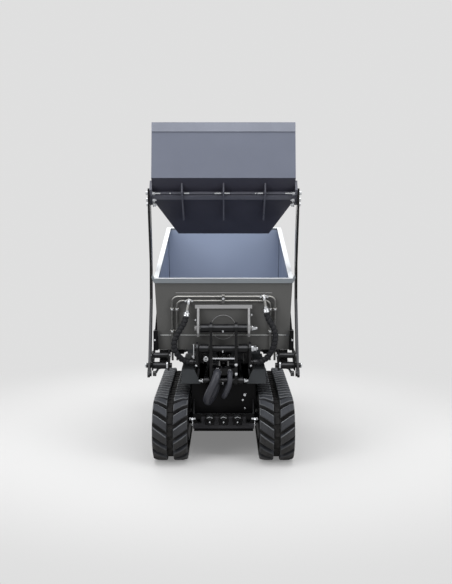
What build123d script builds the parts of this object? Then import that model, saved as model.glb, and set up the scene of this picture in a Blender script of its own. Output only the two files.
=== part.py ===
"""Tracked high-tip site dumper with a self-loading shovel.

Millimetres. +X to the machine's right as seen from its front, +Y to the rear, +Z up.
The origin is on the ground, under the middle of the whole machine.
"""

import os
from math import atan2, cos, degrees, hypot, pi, radians, sin, tan

from build123d import *

os.makedirs("parts", exist_ok=True)

# ---------------------------------------------------------------- driving dimensions
front = -815.73  # Y of the plane that depths are measured back from

# Rubber tracks
track_lead = 120.0  # the tracks reach this far ahead of that plane
track_inner = 198.5  # from the middle plane to a track's inner edge
track_width = 196.0
groove_width = 32.0  # bare belt between the two columns of lugs
wheel_radius = 134.0  # idler and sprocket, to the belt's inside
belt_thickness = 22.0
lug_height = 25.0
wheelbase = 880.0
lug_count = 40  # in each of the two columns, which are half a pitch apart
lug_foot = 24.0  # half a lug's length along the belt, at the belt
lug_tip = 17.0

# Undercarriage and chassis
frame_plate = 12.0
chassis_half = 172.0  # outside of the chassis side plates
chassis_bottom = 130.0
chassis_top = 350.0
chassis_front = 176.0  # behind the front plane
chassis_rear = 1300.0
bulkhead_half = 184.0
bulkhead_low = 240.0
bulkhead_top = 412.0
bulkhead_plate = 8.0
bar_half = 174.0
bar_low = 166.0
bar_front = 96.0
bar_plate = 12.0
lash_radius = 11.0  # lashing holes through the bottom bar's front
lash_half = 142.0
lash_z = 212.0
cover_low = 428.0
cover_top = 510.0
cover_out = 238.0
cover_sheet = 5.0

# Parallel lift: two links of one length, one above the other
pin_depth = 44.0  # the three front pins, behind the front plane
skip_pin_z = 752.0
arm_pin_z = 637.0
link_pin_z = 455.0
link_reach = 1056.0  # from the front pins to the chassis pins
link_drop = 90.0  # the chassis pins are this much lower
pin_radius = 14.0
link_pin_radius = 12.0
fit = 0.05  # radial running clearance of every pin
running_gap = 0.3  # between faces that only rest together
side_gap = 6.0  # between plates that move past each other

carriage_plate = 16.0
carriage_half = 78.0  # outside of the inner plates
cheek_half = 154.0  # outside of the outer cheeks
cheek_plate = 12.0
arm_beam = 20.0
link_beam = 14.0

# Skip
wall = 5.0
rim_z = 1030.0
rim_rear_z = 1285.0
floor_z = 622.0
front_rim_half = 386.0
front_foot_half = 369.0
rear_rim_half = 374.0
skip_front = 60.0  # front rim, behind the front plane
skip_foot = 110.0  # foot of the front wall
skip_tail = 880.0  # foot of the rear wall
skip_rear = 1050.0  # rear rim
rim_band = 26.0
rim_inset = 10.0  # flange inside the front and rear walls
rim_side_inset = 22.0
doubler_top = 705.0
ear_plate = 12.0
ear_half = 148.0
ear_bar_z = 871.0
ear_bar_half = 160.0

# Shovel and its arms
arm_plate = 12.0
arm_inside = 408.0
arm_pivot_depth = 50.0
arm_pivot_z = 541.0
arm_pivot_radius = 14.0
bracket_inside = 304.0
bracket_outside = 402.0
bracket_plate = 8.0
bracket_bar_z = 598.0
shovel_half = 395.0
shovel_sheet = 5.0
fold_depth = 6.0
fold_z = 1585.0
edge_depth = 66.0
edge_z = 1889.0
chute_depth = 420.0
chute_z = 1268.0
chute_half = 268.0
edge_width = 52.0
edge_plate = 10.0

# Cylinders: length of the barrel, and how far the rod is out at rest
tip_eye = (430.0, 548.0)  # depth and height of the rod's eye at rest
tip_base = (100.0, 567.0)
lift_eye = (760.0, 505.0)
lift_base = (420.0, 225.0)
dip_eye = (-35.0, 510.0)
dip_base = (640.0, 470.0)
dip_plane = 381.0
dip_pin_radius = 10.0

# Rear end
engine_half = 180.0
hood_half = 250.0
hood_front = 1130.0
hood_rear = 1480.0
hood_low = 640.0
hood_top = 905.0
hood_sheet = 3.0
hinge_z = 912.0  # hood's hinge, on the console's front face
hinge_pin = 4.0
console_front = hood_rear + 10
console_rear = console_front + 80
console_top = 1024.0
console_fall = 26.0  # its top slopes down to the rear
console_half = 190.0
muffler_radius = 36.0
muffler_length = 180.0
muffler_off = 46.0  # its axis from the hood's side
muffler_depth = 1380.0
muffler_z = 760.0
rear_plate_depth = hood_rear  # the rear plate closes the housing
platform_front = rear_plate_depth + 20
platform_rear = platform_front + 251.1
platform_z = 190.0
platform_half = 240.0
tow_half = 30.0
tow_radius = 13.0
tow_depth = platform_front + 22
tow_low = 152.0
tow_plate = 12.0


# ---------------------------------------------------------------- values worked out
def aft(depth):
    """Y of a plane that is depth behind the tracks' front."""
    return front + depth


track_height = 2 * (wheel_radius + belt_thickness + lug_height)
wheel_z = track_height / 2
idler_y = aft(wheel_z - track_lead)
sprocket_y = idler_y + wheelbase
track_middle = track_inner + track_width / 2
pin_y = aft(pin_depth)
chassis_pin_y = pin_y + link_reach
arm_root_z = arm_pin_z - link_drop
link_root_z = link_pin_z - link_drop
arm_beam_out = cheek_half - cheek_plate - side_gap  # lift arm, inside the cheeks
link_beam_out = arm_beam_out - arm_beam - side_gap
pivot_y = aft(arm_pivot_depth)
skip_lean = (skip_foot - skip_front) / (rim_z - floor_z)


def save(part, name):
    """Labels one finished sub-part and writes its STEP file."""
    part.label = name
    export_step(part, f"parts/{name}.step")


def pin_along_x(radius, low, high, y, z):
    """A round bar or bush along X."""
    with BuildPart() as bar:
        with Locations(Location(((low + high) / 2, y, z), (0, 90, 0))):
            Cylinder(radius, high - low)
    return bar.part


def ring_along_x(radius, bore, low, high, y, z):
    """A round boss along X with a bore through it."""
    with BuildPart() as ring:
        with Locations(Location(((low + high) / 2, y, z), (0, 90, 0))):
            Cylinder(radius, high - low)
            Cylinder(bore, high - low, mode=Mode.SUBTRACT)
    return ring.part


def plate_in_yz(points, low, high):
    """A flat plate square to X, with its outline given as (Y, Z) corners."""
    with BuildPart() as plate:
        with BuildSketch(Plane.YZ.offset(low)):
            Polygon(*points, align=None)
        extrude(amount=high - low)
    return plate.part


def box_between(low, high):
    """A box from its lowest corner to its highest corner."""
    size = [h - l for l, h in zip(low, high)]
    middle = [(h + l) / 2 for l, h in zip(low, high)]
    with BuildPart() as box:
        with Locations(tuple(middle)):
            Box(*size)
    return box.part


def both_sides(piece):
    """The piece and its mirror image in the middle plane."""
    return [piece, piece.mirror(Plane.YZ)]


# ---------------------------------------------------------------- tracks
def on_loop(run, radius):
    """(Y, Z) at that length along the belt's outside, from the bottom's front end, at a radius from the wheels."""
    bend = pi * belt_radius
    run %= 2 * (wheelbase + bend)
    if run < wheelbase:
        return idler_y + run, wheel_z - radius
    if run < wheelbase + bend:
        turn = (run - wheelbase) / belt_radius
        return sprocket_y + radius * sin(turn), wheel_z - radius * cos(turn)
    if run < 2 * wheelbase + bend:
        return sprocket_y - (run - wheelbase - bend), wheel_z + radius
    turn = (run - 2 * wheelbase - bend) / belt_radius
    return idler_y - radius * sin(turn), wheel_z + radius * cos(turn)


belt_radius = wheel_radius + belt_thickness
lug_pitch = 2 * (wheelbase + pi * belt_radius) / lug_count
for side, name in ((-1, "track_left"), (1, "track_right")):
    with BuildPart() as track:
        with BuildSketch(Plane.YZ.offset(track_inner)):
            with Locations(((idler_y + sprocket_y) / 2, wheel_z)):
                SlotCenterToCenter(wheelbase, 2 * belt_radius)
        extrude(amount=track_width)
        for phase, low, high in ((0, track_inner, track_middle - groove_width / 2),
                                 (0.5, track_middle + groove_width / 2, track_inner + track_width)):
            outline = []
            for index in range(lug_count):
                middle = (index + phase) * lug_pitch
                for along, radius in ((-lug_foot, belt_radius), (-lug_tip, belt_radius + lug_height),
                                      (lug_tip, belt_radius + lug_height), (lug_foot, belt_radius)):
                    outline.append(on_loop(middle + along, radius))
            with BuildSketch(Plane.YZ.offset(low)):
                Polygon(*outline, align=None)
            extrude(amount=high - low)
        with BuildSketch(Plane.YZ.offset(track_inner)):
            with Locations(((idler_y + sprocket_y) / 2, wheel_z)):
                SlotCenterToCenter(wheelbase, 2 * wheel_radius)
        extrude(amount=track_width, mode=Mode.SUBTRACT)
    save(track.part if side > 0 else track.part.mirror(Plane.YZ), name)

# ---------------------------------------------------------------- wheels in the tracks
rubber_gap = 0.3
rim_half = 82.0  # half the width of a wheel or roller
web_half = 26.0
hub_radius = 34.0
axle_radius = 16.0
roller_radius = 50.0
roller_count = 4
roller_z = wheel_z - wheel_radius + roller_radius + rubber_gap

for name, wheel_y in (("idlers", idler_y), ("sprockets", sprocket_y)):
    with BuildPart() as wheel:
        add(ring_along_x(wheel_radius - rubber_gap, axle_radius + fit,
                         track_middle - rim_half, track_middle + rim_half, wheel_y, wheel_z))
        for low, high in ((-rim_half, -web_half), (web_half, rim_half)):
            add(ring_along_x(wheel_radius - 22, hub_radius, track_middle + low,
                             track_middle + high, wheel_y, wheel_z), mode=Mode.SUBTRACT)
    save(Compound(children=both_sides(wheel.part.solid())), name)

roller_pitch = (wheelbase - 2 * wheel_radius - 2 * roller_radius - 20) / (roller_count - 1)
roller_ys = [idler_y + wheel_radius + roller_radius + 10 + roller_pitch * n for n in range(roller_count)]
rollers = []
for y in roller_ys:
    with BuildPart() as roller:
        add(ring_along_x(roller_radius, axle_radius + fit, track_middle - rim_half,
                         track_middle + rim_half, y, roller_z))
        add(ring_along_x(roller_radius + 1, roller_radius - 16, track_middle - web_half,
                         track_middle + web_half, y, roller_z), mode=Mode.SUBTRACT)
    rollers += both_sides(roller.part.solid())
save(Compound(children=rollers), "track_rollers")

# ---------------------------------------------------------------- track frames
rail_inside = 88.0  # from the track's middle to each side rail
rail_plate = 8.0
rail_half_height = 32.0
hanger_drop = 24.0  # below the rollers' axles
beam_radius = 34.0
beam_inset = 250.0  # from an end wheel's axle
for side, name in ((-1, "track_frame_left"), (1, "track_frame_right")):
    with BuildPart() as frame:
        rail = [
            (idler_y - 30, wheel_z - 22), (idler_y - 30, wheel_z + 22),
            (idler_y + 20, wheel_z + rail_half_height), (sprocket_y - 20, wheel_z + rail_half_height),
            (sprocket_y + 30, wheel_z + 22), (sprocket_y + 30, wheel_z - 22),
            (sprocket_y - wheel_radius, roller_z - hanger_drop), (idler_y + wheel_radius, roller_z - hanger_drop),
        ]
        for low in (-rail_inside - rail_plate, rail_inside):
            add(plate_in_yz(rail, track_middle + low, track_middle + low + rail_plate))
        for y, z in [(idler_y, wheel_z), (sprocket_y, wheel_z)] + [(y, roller_z) for y in roller_ys]:
            add(pin_along_x(axle_radius, track_middle - rail_inside, track_middle + rail_inside, y, z))
        for y in (idler_y + beam_inset, sprocket_y - beam_inset):
            add(pin_along_x(beam_radius, chassis_half, track_middle + rail_inside, y, wheel_z))
    save(frame.part if side > 0 else frame.part.mirror(Plane.YZ), name)

# ---------------------------------------------------------------- chassis
chassis_inside = chassis_half - frame_plate
tower_half = 62.0  # fore-and-aft half-width of the lift tower
tower_top = arm_root_z + 40.0
tower_y = chassis_pin_y
bed_top = chassis_top + 8.0
lift_ear_inside = 38.0
lift_ear_plate = 10.0
lift_pin_radius = 11.0
with BuildPart() as chassis:
    side_plate = [
        (aft(chassis_front + bulkhead_plate), chassis_bottom), (aft(chassis_front + bulkhead_plate), chassis_top - 40),
        (aft(chassis_front) + 60, chassis_top), (tower_y - tower_half - 60, chassis_top),
        (tower_y - 30, tower_top), (tower_y + 30, tower_top), (tower_y + tower_half, chassis_top),
        (aft(chassis_rear), chassis_top), (aft(chassis_rear), chassis_bottom),
    ]
    for low in (-chassis_half, chassis_inside):
        add(plate_in_yz(side_plate, low, low + frame_plate))
    add(box_between((-chassis_inside, aft(chassis_front + bulkhead_plate), chassis_bottom),
                    (chassis_inside, aft(chassis_rear), chassis_bottom + 10)))
    add(box_between((-chassis_inside, aft(chassis_rear) - 10, chassis_bottom),
                    (chassis_inside, aft(chassis_rear), chassis_top)))
    for z in (arm_root_z, link_root_z):
        add(pin_along_x(pin_radius, -chassis_half - 10, chassis_half + 10, chassis_pin_y, z))
    base_y, base_z = aft(lift_base[0]), lift_base[1]
    ear = [(base_y - 45, chassis_bottom + 5), (base_y - 22, base_z + 24), (base_y + 22, base_z + 24),
           (base_y + 45, chassis_bottom + 5)]
    for low in (-lift_ear_inside - lift_ear_plate, lift_ear_inside):
        add(plate_in_yz(ear, low, low + lift_ear_plate))
    add(pin_along_x(lift_pin_radius, -lift_ear_inside - 16, lift_ear_inside + 16, base_y, base_z))
save(chassis.part, "chassis_frame")

with BuildPart() as bulkhead:
    add(box_between((-bulkhead_half, aft(chassis_front), bulkhead_low),
                    (bulkhead_half, aft(chassis_front) + bulkhead_plate, bulkhead_top)))
    add(box_between((-bar_half, aft(bar_front), bar_low), (bar_half, aft(bar_front) + bar_plate, bulkhead_low + 12)))
    add(box_between((-bar_half, aft(bar_front), bar_low), (bar_half, aft(chassis_front) + bulkhead_plate, bar_low + 8)))
    for low in (-bar_half, bar_half - 8):
        add(plate_in_yz([(aft(bar_front), bar_low), (aft(bar_front), bulkhead_low + 12),
                         (aft(chassis_front), bulkhead_low + 80),
                         (aft(chassis_front) + bulkhead_plate, bulkhead_low + 80),
                         (aft(chassis_front) + bulkhead_plate, bar_low)], low, low + 8))
    with BuildSketch(Plane.XZ.offset(-aft(bar_front))):
        with Locations((-lash_half, lash_z), (lash_half, lash_z)):
            Circle(lash_radius)
    extrude(amount=-bar_plate, mode=Mode.SUBTRACT)
save(bulkhead.part, "front_bulkhead")

coupling_radius = 29.0
coupling_length = 34.0
coupling_z = 222.0
coupling_pitch = 79.0
couplings = []
for index in (-1, 0, 1):
    with BuildPart() as coupling:
        with BuildSketch(Plane.XZ.offset(-aft(bar_front))):
            with Locations((coupling_pitch * index, coupling_z)):
                Circle(coupling_radius)
        extrude(amount=coupling_length * 0.6)
        with BuildSketch(Plane.XZ.offset(-aft(bar_front))):
            with Locations((coupling_pitch * index, coupling_z)):
                RegularPolygon(coupling_radius * 0.8, 6)
        extrude(amount=coupling_length)
    couplings.append(coupling.part.solid())
save(Compound(children=couplings), "hose_couplings")

cover_front = 92.0
cover_rear = 640.0
with BuildPart() as cover:
    with BuildSketch(Plane.XZ.offset(-aft(cover_front))):
        Polygon((166, cover_top), (cover_out, cover_top), (cover_out + 2, cover_low), (131, cover_low), align=None)
    extrude(amount=-cover_sheet)
    add(box_between((chassis_half, aft(cover_front), cover_top - cover_sheet),
                    (cover_out, aft(cover_rear), cover_top)))
    add(box_between((cover_out - cover_sheet, aft(cover_front), cover_low),
                    (cover_out, aft(cover_rear), cover_top)))
    add(box_between((chassis_half, aft(cover_front), cover_low), (chassis_half + cover_sheet, aft(cover_rear), cover_top)))
    add(box_between((chassis_half, aft(chassis_front) + 60, chassis_top - 60),
                    (chassis_half + cover_sheet, aft(cover_rear), cover_low)))
save(Compound(children=both_sides(cover.part.solid())), "side_covers")

# ---------------------------------------------------------------- lift arm and level link
boss_radius = 24.0
lift_arm_top = 597.0
lift_arm_low = 533.0
root_boss_out = chassis_inside - side_gap
eye_y, eye_z = aft(lift_eye[0]), lift_eye[1]
with BuildPart() as lift_arm:
    beam = [
        (pin_y - 20, arm_pin_z - 10), (pin_y - 6, arm_pin_z + 22), (pin_y + 16, arm_pin_z + 16),
        (aft(118), lift_arm_top), (chassis_pin_y - 60, lift_arm_top), (chassis_pin_y + 24, arm_root_z + 14),
        (chassis_pin_y + 24, arm_root_z - 16), (chassis_pin_y - 20, arm_root_z - 26),
        (aft(150), lift_arm_low), (aft(90), lift_arm_low + 14),
    ]
    for side in (-1, 1):
        low = side * (arm_beam_out - arm_beam / 2) - arm_beam / 2
        add(plate_in_yz(beam, low, low + arm_beam))
        inner, outer = carriage_half + side_gap, arm_beam_out
        add(pin_along_x(boss_radius, *sorted((side * inner, side * outer)), pin_y, arm_pin_z))
        add(pin_along_x(boss_radius + 6, *sorted((side * (arm_beam_out - arm_beam), side * root_boss_out)),
                        chassis_pin_y, arm_root_z))
    for depth, radius in ((560, 18), (930, 22)):
        add(pin_along_x(radius, -arm_beam_out + 2, arm_beam_out - 2, aft(depth), 564))
    add(box_between((-arm_beam_out + 2, eye_y - 26, 548), (arm_beam_out - 2, eye_y + 26, 590)))
    ear = [(eye_y - 24, 552), (eye_y - 20, eye_z - 22), (eye_y + 20, eye_z - 22), (eye_y + 24, 552)]
    for low in (-lift_ear_inside - lift_ear_plate, lift_ear_inside):
        add(plate_in_yz(ear, low, low + lift_ear_plate))
    bore = pin_radius + fit
    add(pin_along_x(bore, -arm_beam_out - 1, arm_beam_out + 1, pin_y, arm_pin_z), mode=Mode.SUBTRACT)
    add(pin_along_x(bore, -root_boss_out - 1, root_boss_out + 1, chassis_pin_y, arm_root_z), mode=Mode.SUBTRACT)
save(lift_arm.part, "lift_arm")

link_half_height = 18.0
with BuildPart() as link:
    for side in (-1, 1):
        low = side * (link_beam_out - link_beam / 2) - link_beam / 2
        add(plate_in_yz([
            (pin_y, link_pin_z - link_half_height), (pin_y, link_pin_z + link_half_height),
            (chassis_pin_y, link_root_z + link_half_height), (chassis_pin_y, link_root_z - link_half_height),
        ], low, low + link_beam))
        add(pin_along_x(link_half_height + 2, *sorted((side * (carriage_half + side_gap), side * link_beam_out)),
                        pin_y, link_pin_z))
        add(pin_along_x(boss_radius, *sorted((side * (link_beam_out - link_beam), side * root_boss_out)),
                        chassis_pin_y, link_root_z))
    add(pin_along_x(15, -link_beam_out + 2, link_beam_out - 2, aft(950), link_pin_z - link_drop * 0.858))
    add(pin_along_x(link_pin_radius + fit, -link_beam_out - 1, link_beam_out + 1, pin_y, link_pin_z),
        mode=Mode.SUBTRACT)
    add(pin_along_x(pin_radius + fit, -root_boss_out - 1, root_boss_out + 1, chassis_pin_y, link_root_z),
        mode=Mode.SUBTRACT)
save(link.part, "level_link")

# ---------------------------------------------------------------- carriage
hub_tube_radius = 23.0
hub_tube_half = ear_half - ear_plate - side_gap
tip_pin_radius = 8.0
stop_radius = 7.0  # bright cross rod ahead of the tip cylinder
stop_place = (60.0, 578.0)
tip_lobe = 20.0  # plate around the tip cylinder's base pin
block_low, block_high = 488.0, 526.0
hose_stub_radius = 13.0
hose_stub_out = 168.0
hose_stub_z = 560.0
with BuildPart() as carriage:
    for low in (-carriage_half, carriage_half - carriage_plate):
        with BuildSketch(Plane.YZ.offset(low)):
            with Locations((pin_y, skip_pin_z)):
                Circle(33)
            with Locations((pin_y, link_pin_z)):
                Circle(26)
            with Locations((pin_y, (skip_pin_z + link_pin_z) / 2)):
                Rectangle(56, skip_pin_z - link_pin_z)
            with Locations((aft(tip_base[0]), tip_base[1])):
                Circle(tip_lobe)
            with Locations(((pin_y + aft(tip_base[0])) / 2, tip_base[1])):
                Rectangle(aft(tip_base[0]) - pin_y, 2 * tip_lobe)
        extrude(amount=carriage_plate)
    for low in (-cheek_half, cheek_half - cheek_plate):
        with BuildSketch(Plane.YZ.offset(low)):
            with Locations((pin_y, arm_pin_z)):
                Circle(38)
            with Locations((pin_y, (arm_pin_z + hose_stub_z) / 2)):
                Rectangle(64, arm_pin_z - hose_stub_z)
            with Locations((pin_y, hose_stub_z)):
                Circle(32)
        extrude(amount=cheek_plate)
    add(pin_along_x(hub_tube_radius, -hub_tube_half, hub_tube_half, pin_y, skip_pin_z))
    add(pin_along_x(20, -carriage_half, carriage_half, pin_y, arm_pin_z))
    add(pin_along_x(18, -carriage_half, carriage_half, pin_y, link_pin_z))
    add(pin_along_x(pin_radius, -cheek_half - 10, cheek_half + 10, pin_y, arm_pin_z))
    add(pin_along_x(link_pin_radius, -link_beam_out - 8, link_beam_out + 8, pin_y, link_pin_z))
    add(pin_along_x(tip_pin_radius, -carriage_half - 8, carriage_half + 8, aft(tip_base[0]), tip_base[1]))
    add(pin_along_x(stop_radius, -carriage_half, carriage_half, aft(stop_place[0]), stop_place[1]))
    for low, high in ((-hose_stub_out, -cheek_half), (cheek_half, hose_stub_out)):
        add(pin_along_x(hose_stub_radius, low, high, pin_y, hose_stub_z))
    add(pin_along_x(pin_radius + fit, -hub_tube_half - 1, hub_tube_half + 1, pin_y, skip_pin_z),
        mode=Mode.SUBTRACT)
save(carriage.part, "carriage")

with BuildPart() as block:
    inside = carriage_half - carriage_plate
    add(box_between((-inside, aft(30), block_low), (inside, aft(114), block_high)))
save(block.part, "hose_block")

# ---------------------------------------------------------------- skip
rim_thick = 12.0
rim_step = rim_rear_z - rim_z
rim_angle = degrees(atan2(rim_step, skip_rear - skip_front))
rim_length = hypot(rim_step, skip_rear - skip_front)
wall_slope = (front_rim_half - front_foot_half) / (rim_z - floor_z)
rear_taper = (front_rim_half + wall_slope * rim_step - rear_rim_half) / (skip_rear - skip_front)
rear_foot_half = front_foot_half - rear_taper * (skip_tail - skip_foot)
rim_plane = Plane(origin=(0, aft(skip_front), rim_z), x_dir=(1, 0, 0),
                  z_dir=(0, -sin(radians(rim_angle)), cos(radians(rim_angle))))


def wall_y(z):
    """Y of the front wall's outer face at height z."""
    return aft(skip_front) + skip_lean * (rim_z - z)


with BuildPart() as tub:
    with BuildSketch(Plane.XY.offset(floor_z)):
        Polygon((-front_foot_half, aft(skip_foot)), (front_foot_half, aft(skip_foot)),
                (rear_foot_half, aft(skip_tail)), (-rear_foot_half, aft(skip_tail)), align=None)
    with BuildSketch(rim_plane):
        Polygon((-front_rim_half, 0), (front_rim_half, 0), (rear_rim_half, rim_length),
                (-rear_rim_half, rim_length), align=None)
    loft(ruled=True)
    offset(amount=-wall, openings=faces().sort_by(Axis.Z)[-1])
    split(bisect_by=rim_plane.offset(-rim_thick), keep=Keep.BOTTOM)
    with BuildSketch(Plane.YZ.offset(-front_foot_half)):
        Polygon((wall_y(doubler_top) - 4, doubler_top), (wall_y(doubler_top) + 1, doubler_top),
                (wall_y(floor_z) + 1, floor_z), (wall_y(floor_z) - 4, floor_z), align=None)
    extrude(amount=2 * front_foot_half)
save(tub.part, "skip_tub")

with BuildPart() as rim:
    with BuildSketch(rim_plane.offset(-rim_thick)):
        Polygon((-front_rim_half - 4, -4), (front_rim_half + 4, -4), (rear_rim_half + 4, rim_length + 4),
                (-rear_rim_half - 4, rim_length + 4), align=None)
        Polygon((-front_rim_half + rim_side_inset, rim_inset), (front_rim_half - rim_side_inset, rim_inset),
                (rear_rim_half - rim_side_inset, rim_length - rim_inset),
                (-rear_rim_half + rim_side_inset, rim_length - rim_inset), align=None, mode=Mode.SUBTRACT)
    extrude(amount=rim_thick)
    with BuildSketch(Plane.YZ.offset(-front_rim_half)):
        Polygon((wall_y(rim_z) - 6, rim_z), (wall_y(rim_z), rim_z), (wall_y(rim_z - rim_band), rim_z - rim_band),
                (wall_y(rim_z) - 6, rim_z - rim_band), align=None)
    extrude(amount=2 * front_rim_half)
    for side in (-1, 1):
        with BuildSketch(Plane.XZ.offset(-wall_y(rim_z) + 6)):
            Polygon((side * (front_rim_half + 0.5), rim_z + 4), (side * (front_rim_half + 11), rim_z + 22),
                    (side * (front_rim_half + 16), rim_z + 6), (side * (front_rim_half + 3), rim_z - 24),
                    (side * (front_rim_half + 0.5), rim_z - 24), align=None)
        extrude(amount=-10)
save(rim.part, "skip_rim")

beam_in, beam_out = 226.0, 258.0
beam_low = 592.0
tip_ear_inside = 26.0
with BuildPart() as underframe:
    for side in (-1, 1):
        add(box_between((min(side * beam_in, side * beam_out), aft(skip_foot + 20), beam_low),
                        (max(side * beam_in, side * beam_out), aft(skip_tail - 20), floor_z)))
    for depth in (440, 660):
        add(box_between((-beam_in, aft(depth - 30), floor_z - 14), (beam_in, aft(depth + 30), floor_z)))
    ty, tz = aft(tip_eye[0]), tip_eye[1]
    for side in (-1, 1):
        low = side * (tip_ear_inside + 5) - 5
        add(plate_in_yz([(ty - 30, floor_z - 6), (ty - 18, tz - 20), (ty + 18, tz - 20), (ty + 30, floor_z - 6)],
                        low, low + 10))
    dy, dz = aft(dip_base[0]), dip_base[1]
    for side in (-1, 1):
        add(box_between((min(side * beam_out, side * 330), dy - 34, floor_z - 14),
                        (max(side * beam_out, side * 330), dy + 34, floor_z)))
        add(plate_in_yz([(dy - 40, floor_z), (dy - 20, dz - 20), (dy + 20, dz - 20), (dy + 40, floor_z)],
                        min(side * 339, side * 349), max(side * 339, side * 349)))
        add(box_between((min(side * 320, side * 345), dy - 34, floor_z - 14),
                        (max(side * 320, side * 345), dy + 34, floor_z)))
        add(pin_along_x(dip_pin_radius, *sorted((side * 339, side * (dip_plane + 18))), dy, dz))
save(underframe.part, "skip_underframe")

with BuildPart() as bracket:
    bar_low, bar_high = ear_bar_z - 10, ear_bar_z + 10
    add(plate_in_yz([(wall_y(bar_high), bar_high), (wall_y(bar_high) - 18, bar_high),
                     (wall_y(bar_high) - 18, bar_low), (wall_y(bar_low), bar_low)], -ear_bar_half, ear_bar_half))
    for side in (-1, 1):
        low = side * (ear_half - ear_plate / 2) - ear_plate / 2
        add(plate_in_yz([(wall_y(ear_bar_z), ear_bar_z), (wall_y(ear_bar_z) - 16, ear_bar_z),
                         (pin_y - 30, skip_pin_z + 24), (pin_y - 30, skip_pin_z - 24), (pin_y - 8, skip_pin_z - 48),
                         (wall_y(doubler_top + 2), doubler_top + 2)], low, low + ear_plate))
    add(pin_along_x(pin_radius, -ear_half - 14, ear_half + 14, pin_y, skip_pin_z))
save(bracket.part, "skip_bracket")

guide_out = 394.0
guide_low, guide_top, gusset_top = floor_z + 2, 735.0, 840.0
guide_front, guide_rear = 60.0, 130.0


def skip_half(z):
    """Half-width of the skip at its front, at height z."""
    return front_foot_half + wall_slope * (z - floor_z)


with BuildPart() as guide:
    with BuildSketch(Plane.XZ.offset(-aft(guide_front))):
        Polygon((skip_half(guide_low) + 0.2, guide_low), (guide_out, guide_low), (guide_out, guide_top),
                (skip_half(guide_top) + 0.2, guide_top), align=None)
    extrude(amount=guide_front - guide_rear)
    with BuildSketch(Plane.XZ.offset(-aft(guide_front + 36))):
        Polygon((skip_half(guide_top) + 0.2, guide_top), (guide_out - 6, guide_top),
                (skip_half(gusset_top) + 0.2, gusset_top), align=None)
    extrude(amount=-6)
save(Compound(children=both_sides(guide.part.solid())), "arm_guides")

# Two U-shaped pipes lie on the front wall, one inside the other
wall_angle = degrees(atan2(skip_foot - skip_front, rim_z - floor_z))
pipe_radius = 6.0
pipe_standoff = 12.0
pipe_plane = Plane(origin=(0, wall_y(floor_z), floor_z), x_dir=(1, 0, 0),
                   z_dir=(0, -cos(radians(wall_angle)), -sin(radians(wall_angle)))).offset(pipe_standoff)
pipe_end = -60.0
with BuildPart() as pipes:
    for half, top, bend in ((289.0, 928.0, 34.0), (262.0, 904.0, 30.0)):
        rise = (top - floor_z) / cos(radians(wall_angle))
        with BuildLine(pipe_plane) as path:
            FilletPolyline((-half, pipe_end), (-half, rise), (half, rise), (half, pipe_end), radius=bend)
        with BuildSketch(Plane(origin=path.line @ 0, z_dir=path.line % 0)):
            Circle(pipe_radius)
        sweep()
    with BuildSketch(pipe_plane.offset(-pipe_standoff)):
        with Locations((-2, (916 - floor_z) / cos(radians(wall_angle)))):
            Rectangle(16, 44)
    extrude(amount=pipe_standoff + pipe_radius + 3)
    for half in (262.0, 289.0):
        with BuildSketch(pipe_plane.offset(-pipe_standoff)):
            with Locations((-half, 108), (half, 108), (-half, 236), (half, 236)):
                Rectangle(22, 14)
        extrude(amount=pipe_standoff + pipe_radius + 3)
    for x, z, end in ((-194.0, 904.0, (-205.0, 38.0, 838.0)), (226.0, 928.0, (236.0, 38.0, 860.0))):
        tee = pipe_plane.from_local_coords((x, (z - floor_z) / cos(radians(wall_angle)), 0))
        with Locations(Location(tuple(tee), (0, 90, 0))):
            Cylinder(9.5, 30)
        with BuildLine() as drop:
            Line(tuple(tee), (end[0], aft(end[1]), end[2]))
        with BuildSketch(Plane(origin=drop.line @ 0, z_dir=drop.line % 0)):
            Circle(8.5)
        sweep(path=drop.line)
save(pipes.part, "hydraulic_pipes")

# ---------------------------------------------------------------- shovel arms
shovel_bracket = []
for side in (-1, 1):
    with BuildPart() as piece:
        outline = [
            (pivot_y - 24, arm_pivot_z - 26), (pivot_y + 24, arm_pivot_z - 26), (aft(200), floor_z - 24),
            (aft(200), floor_z), (aft(skip_foot) + 2, floor_z), (aft(66), floor_z - 2), (pivot_y - 28, floor_z - 12),
        ]
        for low in (bracket_inside, bracket_outside - bracket_plate):
            plate_low, plate_high = sorted((side * low, side * (low + bracket_plate)))
            add(plate_in_yz(outline, plate_low, plate_high))
        between = sorted((side * bracket_inside, side * bracket_outside))
        add(pin_along_x(16, *between, pivot_y, bracket_bar_z))
        add(pin_along_x(arm_pivot_radius + 6, *between, pivot_y, arm_pivot_z))
        add(box_between((min(between), aft(150), floor_z - 8), (max(between), aft(200), floor_z)))
        add(pin_along_x(arm_pivot_radius, *sorted((side * (bracket_inside - 14), side * (arm_inside + arm_plate + 14))),
                        pivot_y, arm_pivot_z))
    shovel_bracket.append(piece.part.solid())
save(Compound(children=shovel_bracket), "arm_brackets")

arm_outline = [
    (-56, 500), (-48, 524), (8, 562), (150, 905), (160, 1110), (64, 1400), (60, 1530), (152, 1530),
    (158, 1436), (232, 1122), (222, 886), (94, 536), (62, 506), (-18, 489), (-44, 489),
]
for side, name in ((-1, "shovel_arm_left"), (1, "shovel_arm_right")):
    with BuildPart() as arm:
        low, high = sorted((side * arm_inside, side * (arm_inside + arm_plate)))
        with BuildSketch(Plane.YZ.offset(low)):
            Polygon(*[(aft(depth), z) for depth, z in arm_outline], align=None)
            fillet(vertices(), 7)
        extrude(amount=arm_plate)
        add(pin_along_x(dip_pin_radius + 6, *sorted((side * (dip_plane + 17), side * arm_inside)),
                        aft(dip_eye[0]), dip_eye[1]))
        add(pin_along_x(arm_pivot_radius + fit, *sorted((side * (arm_inside - 1), side * (arm_inside + arm_plate + 1))),
                        pivot_y, arm_pivot_z), mode=Mode.SUBTRACT)
    save(arm.part, name)

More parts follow.
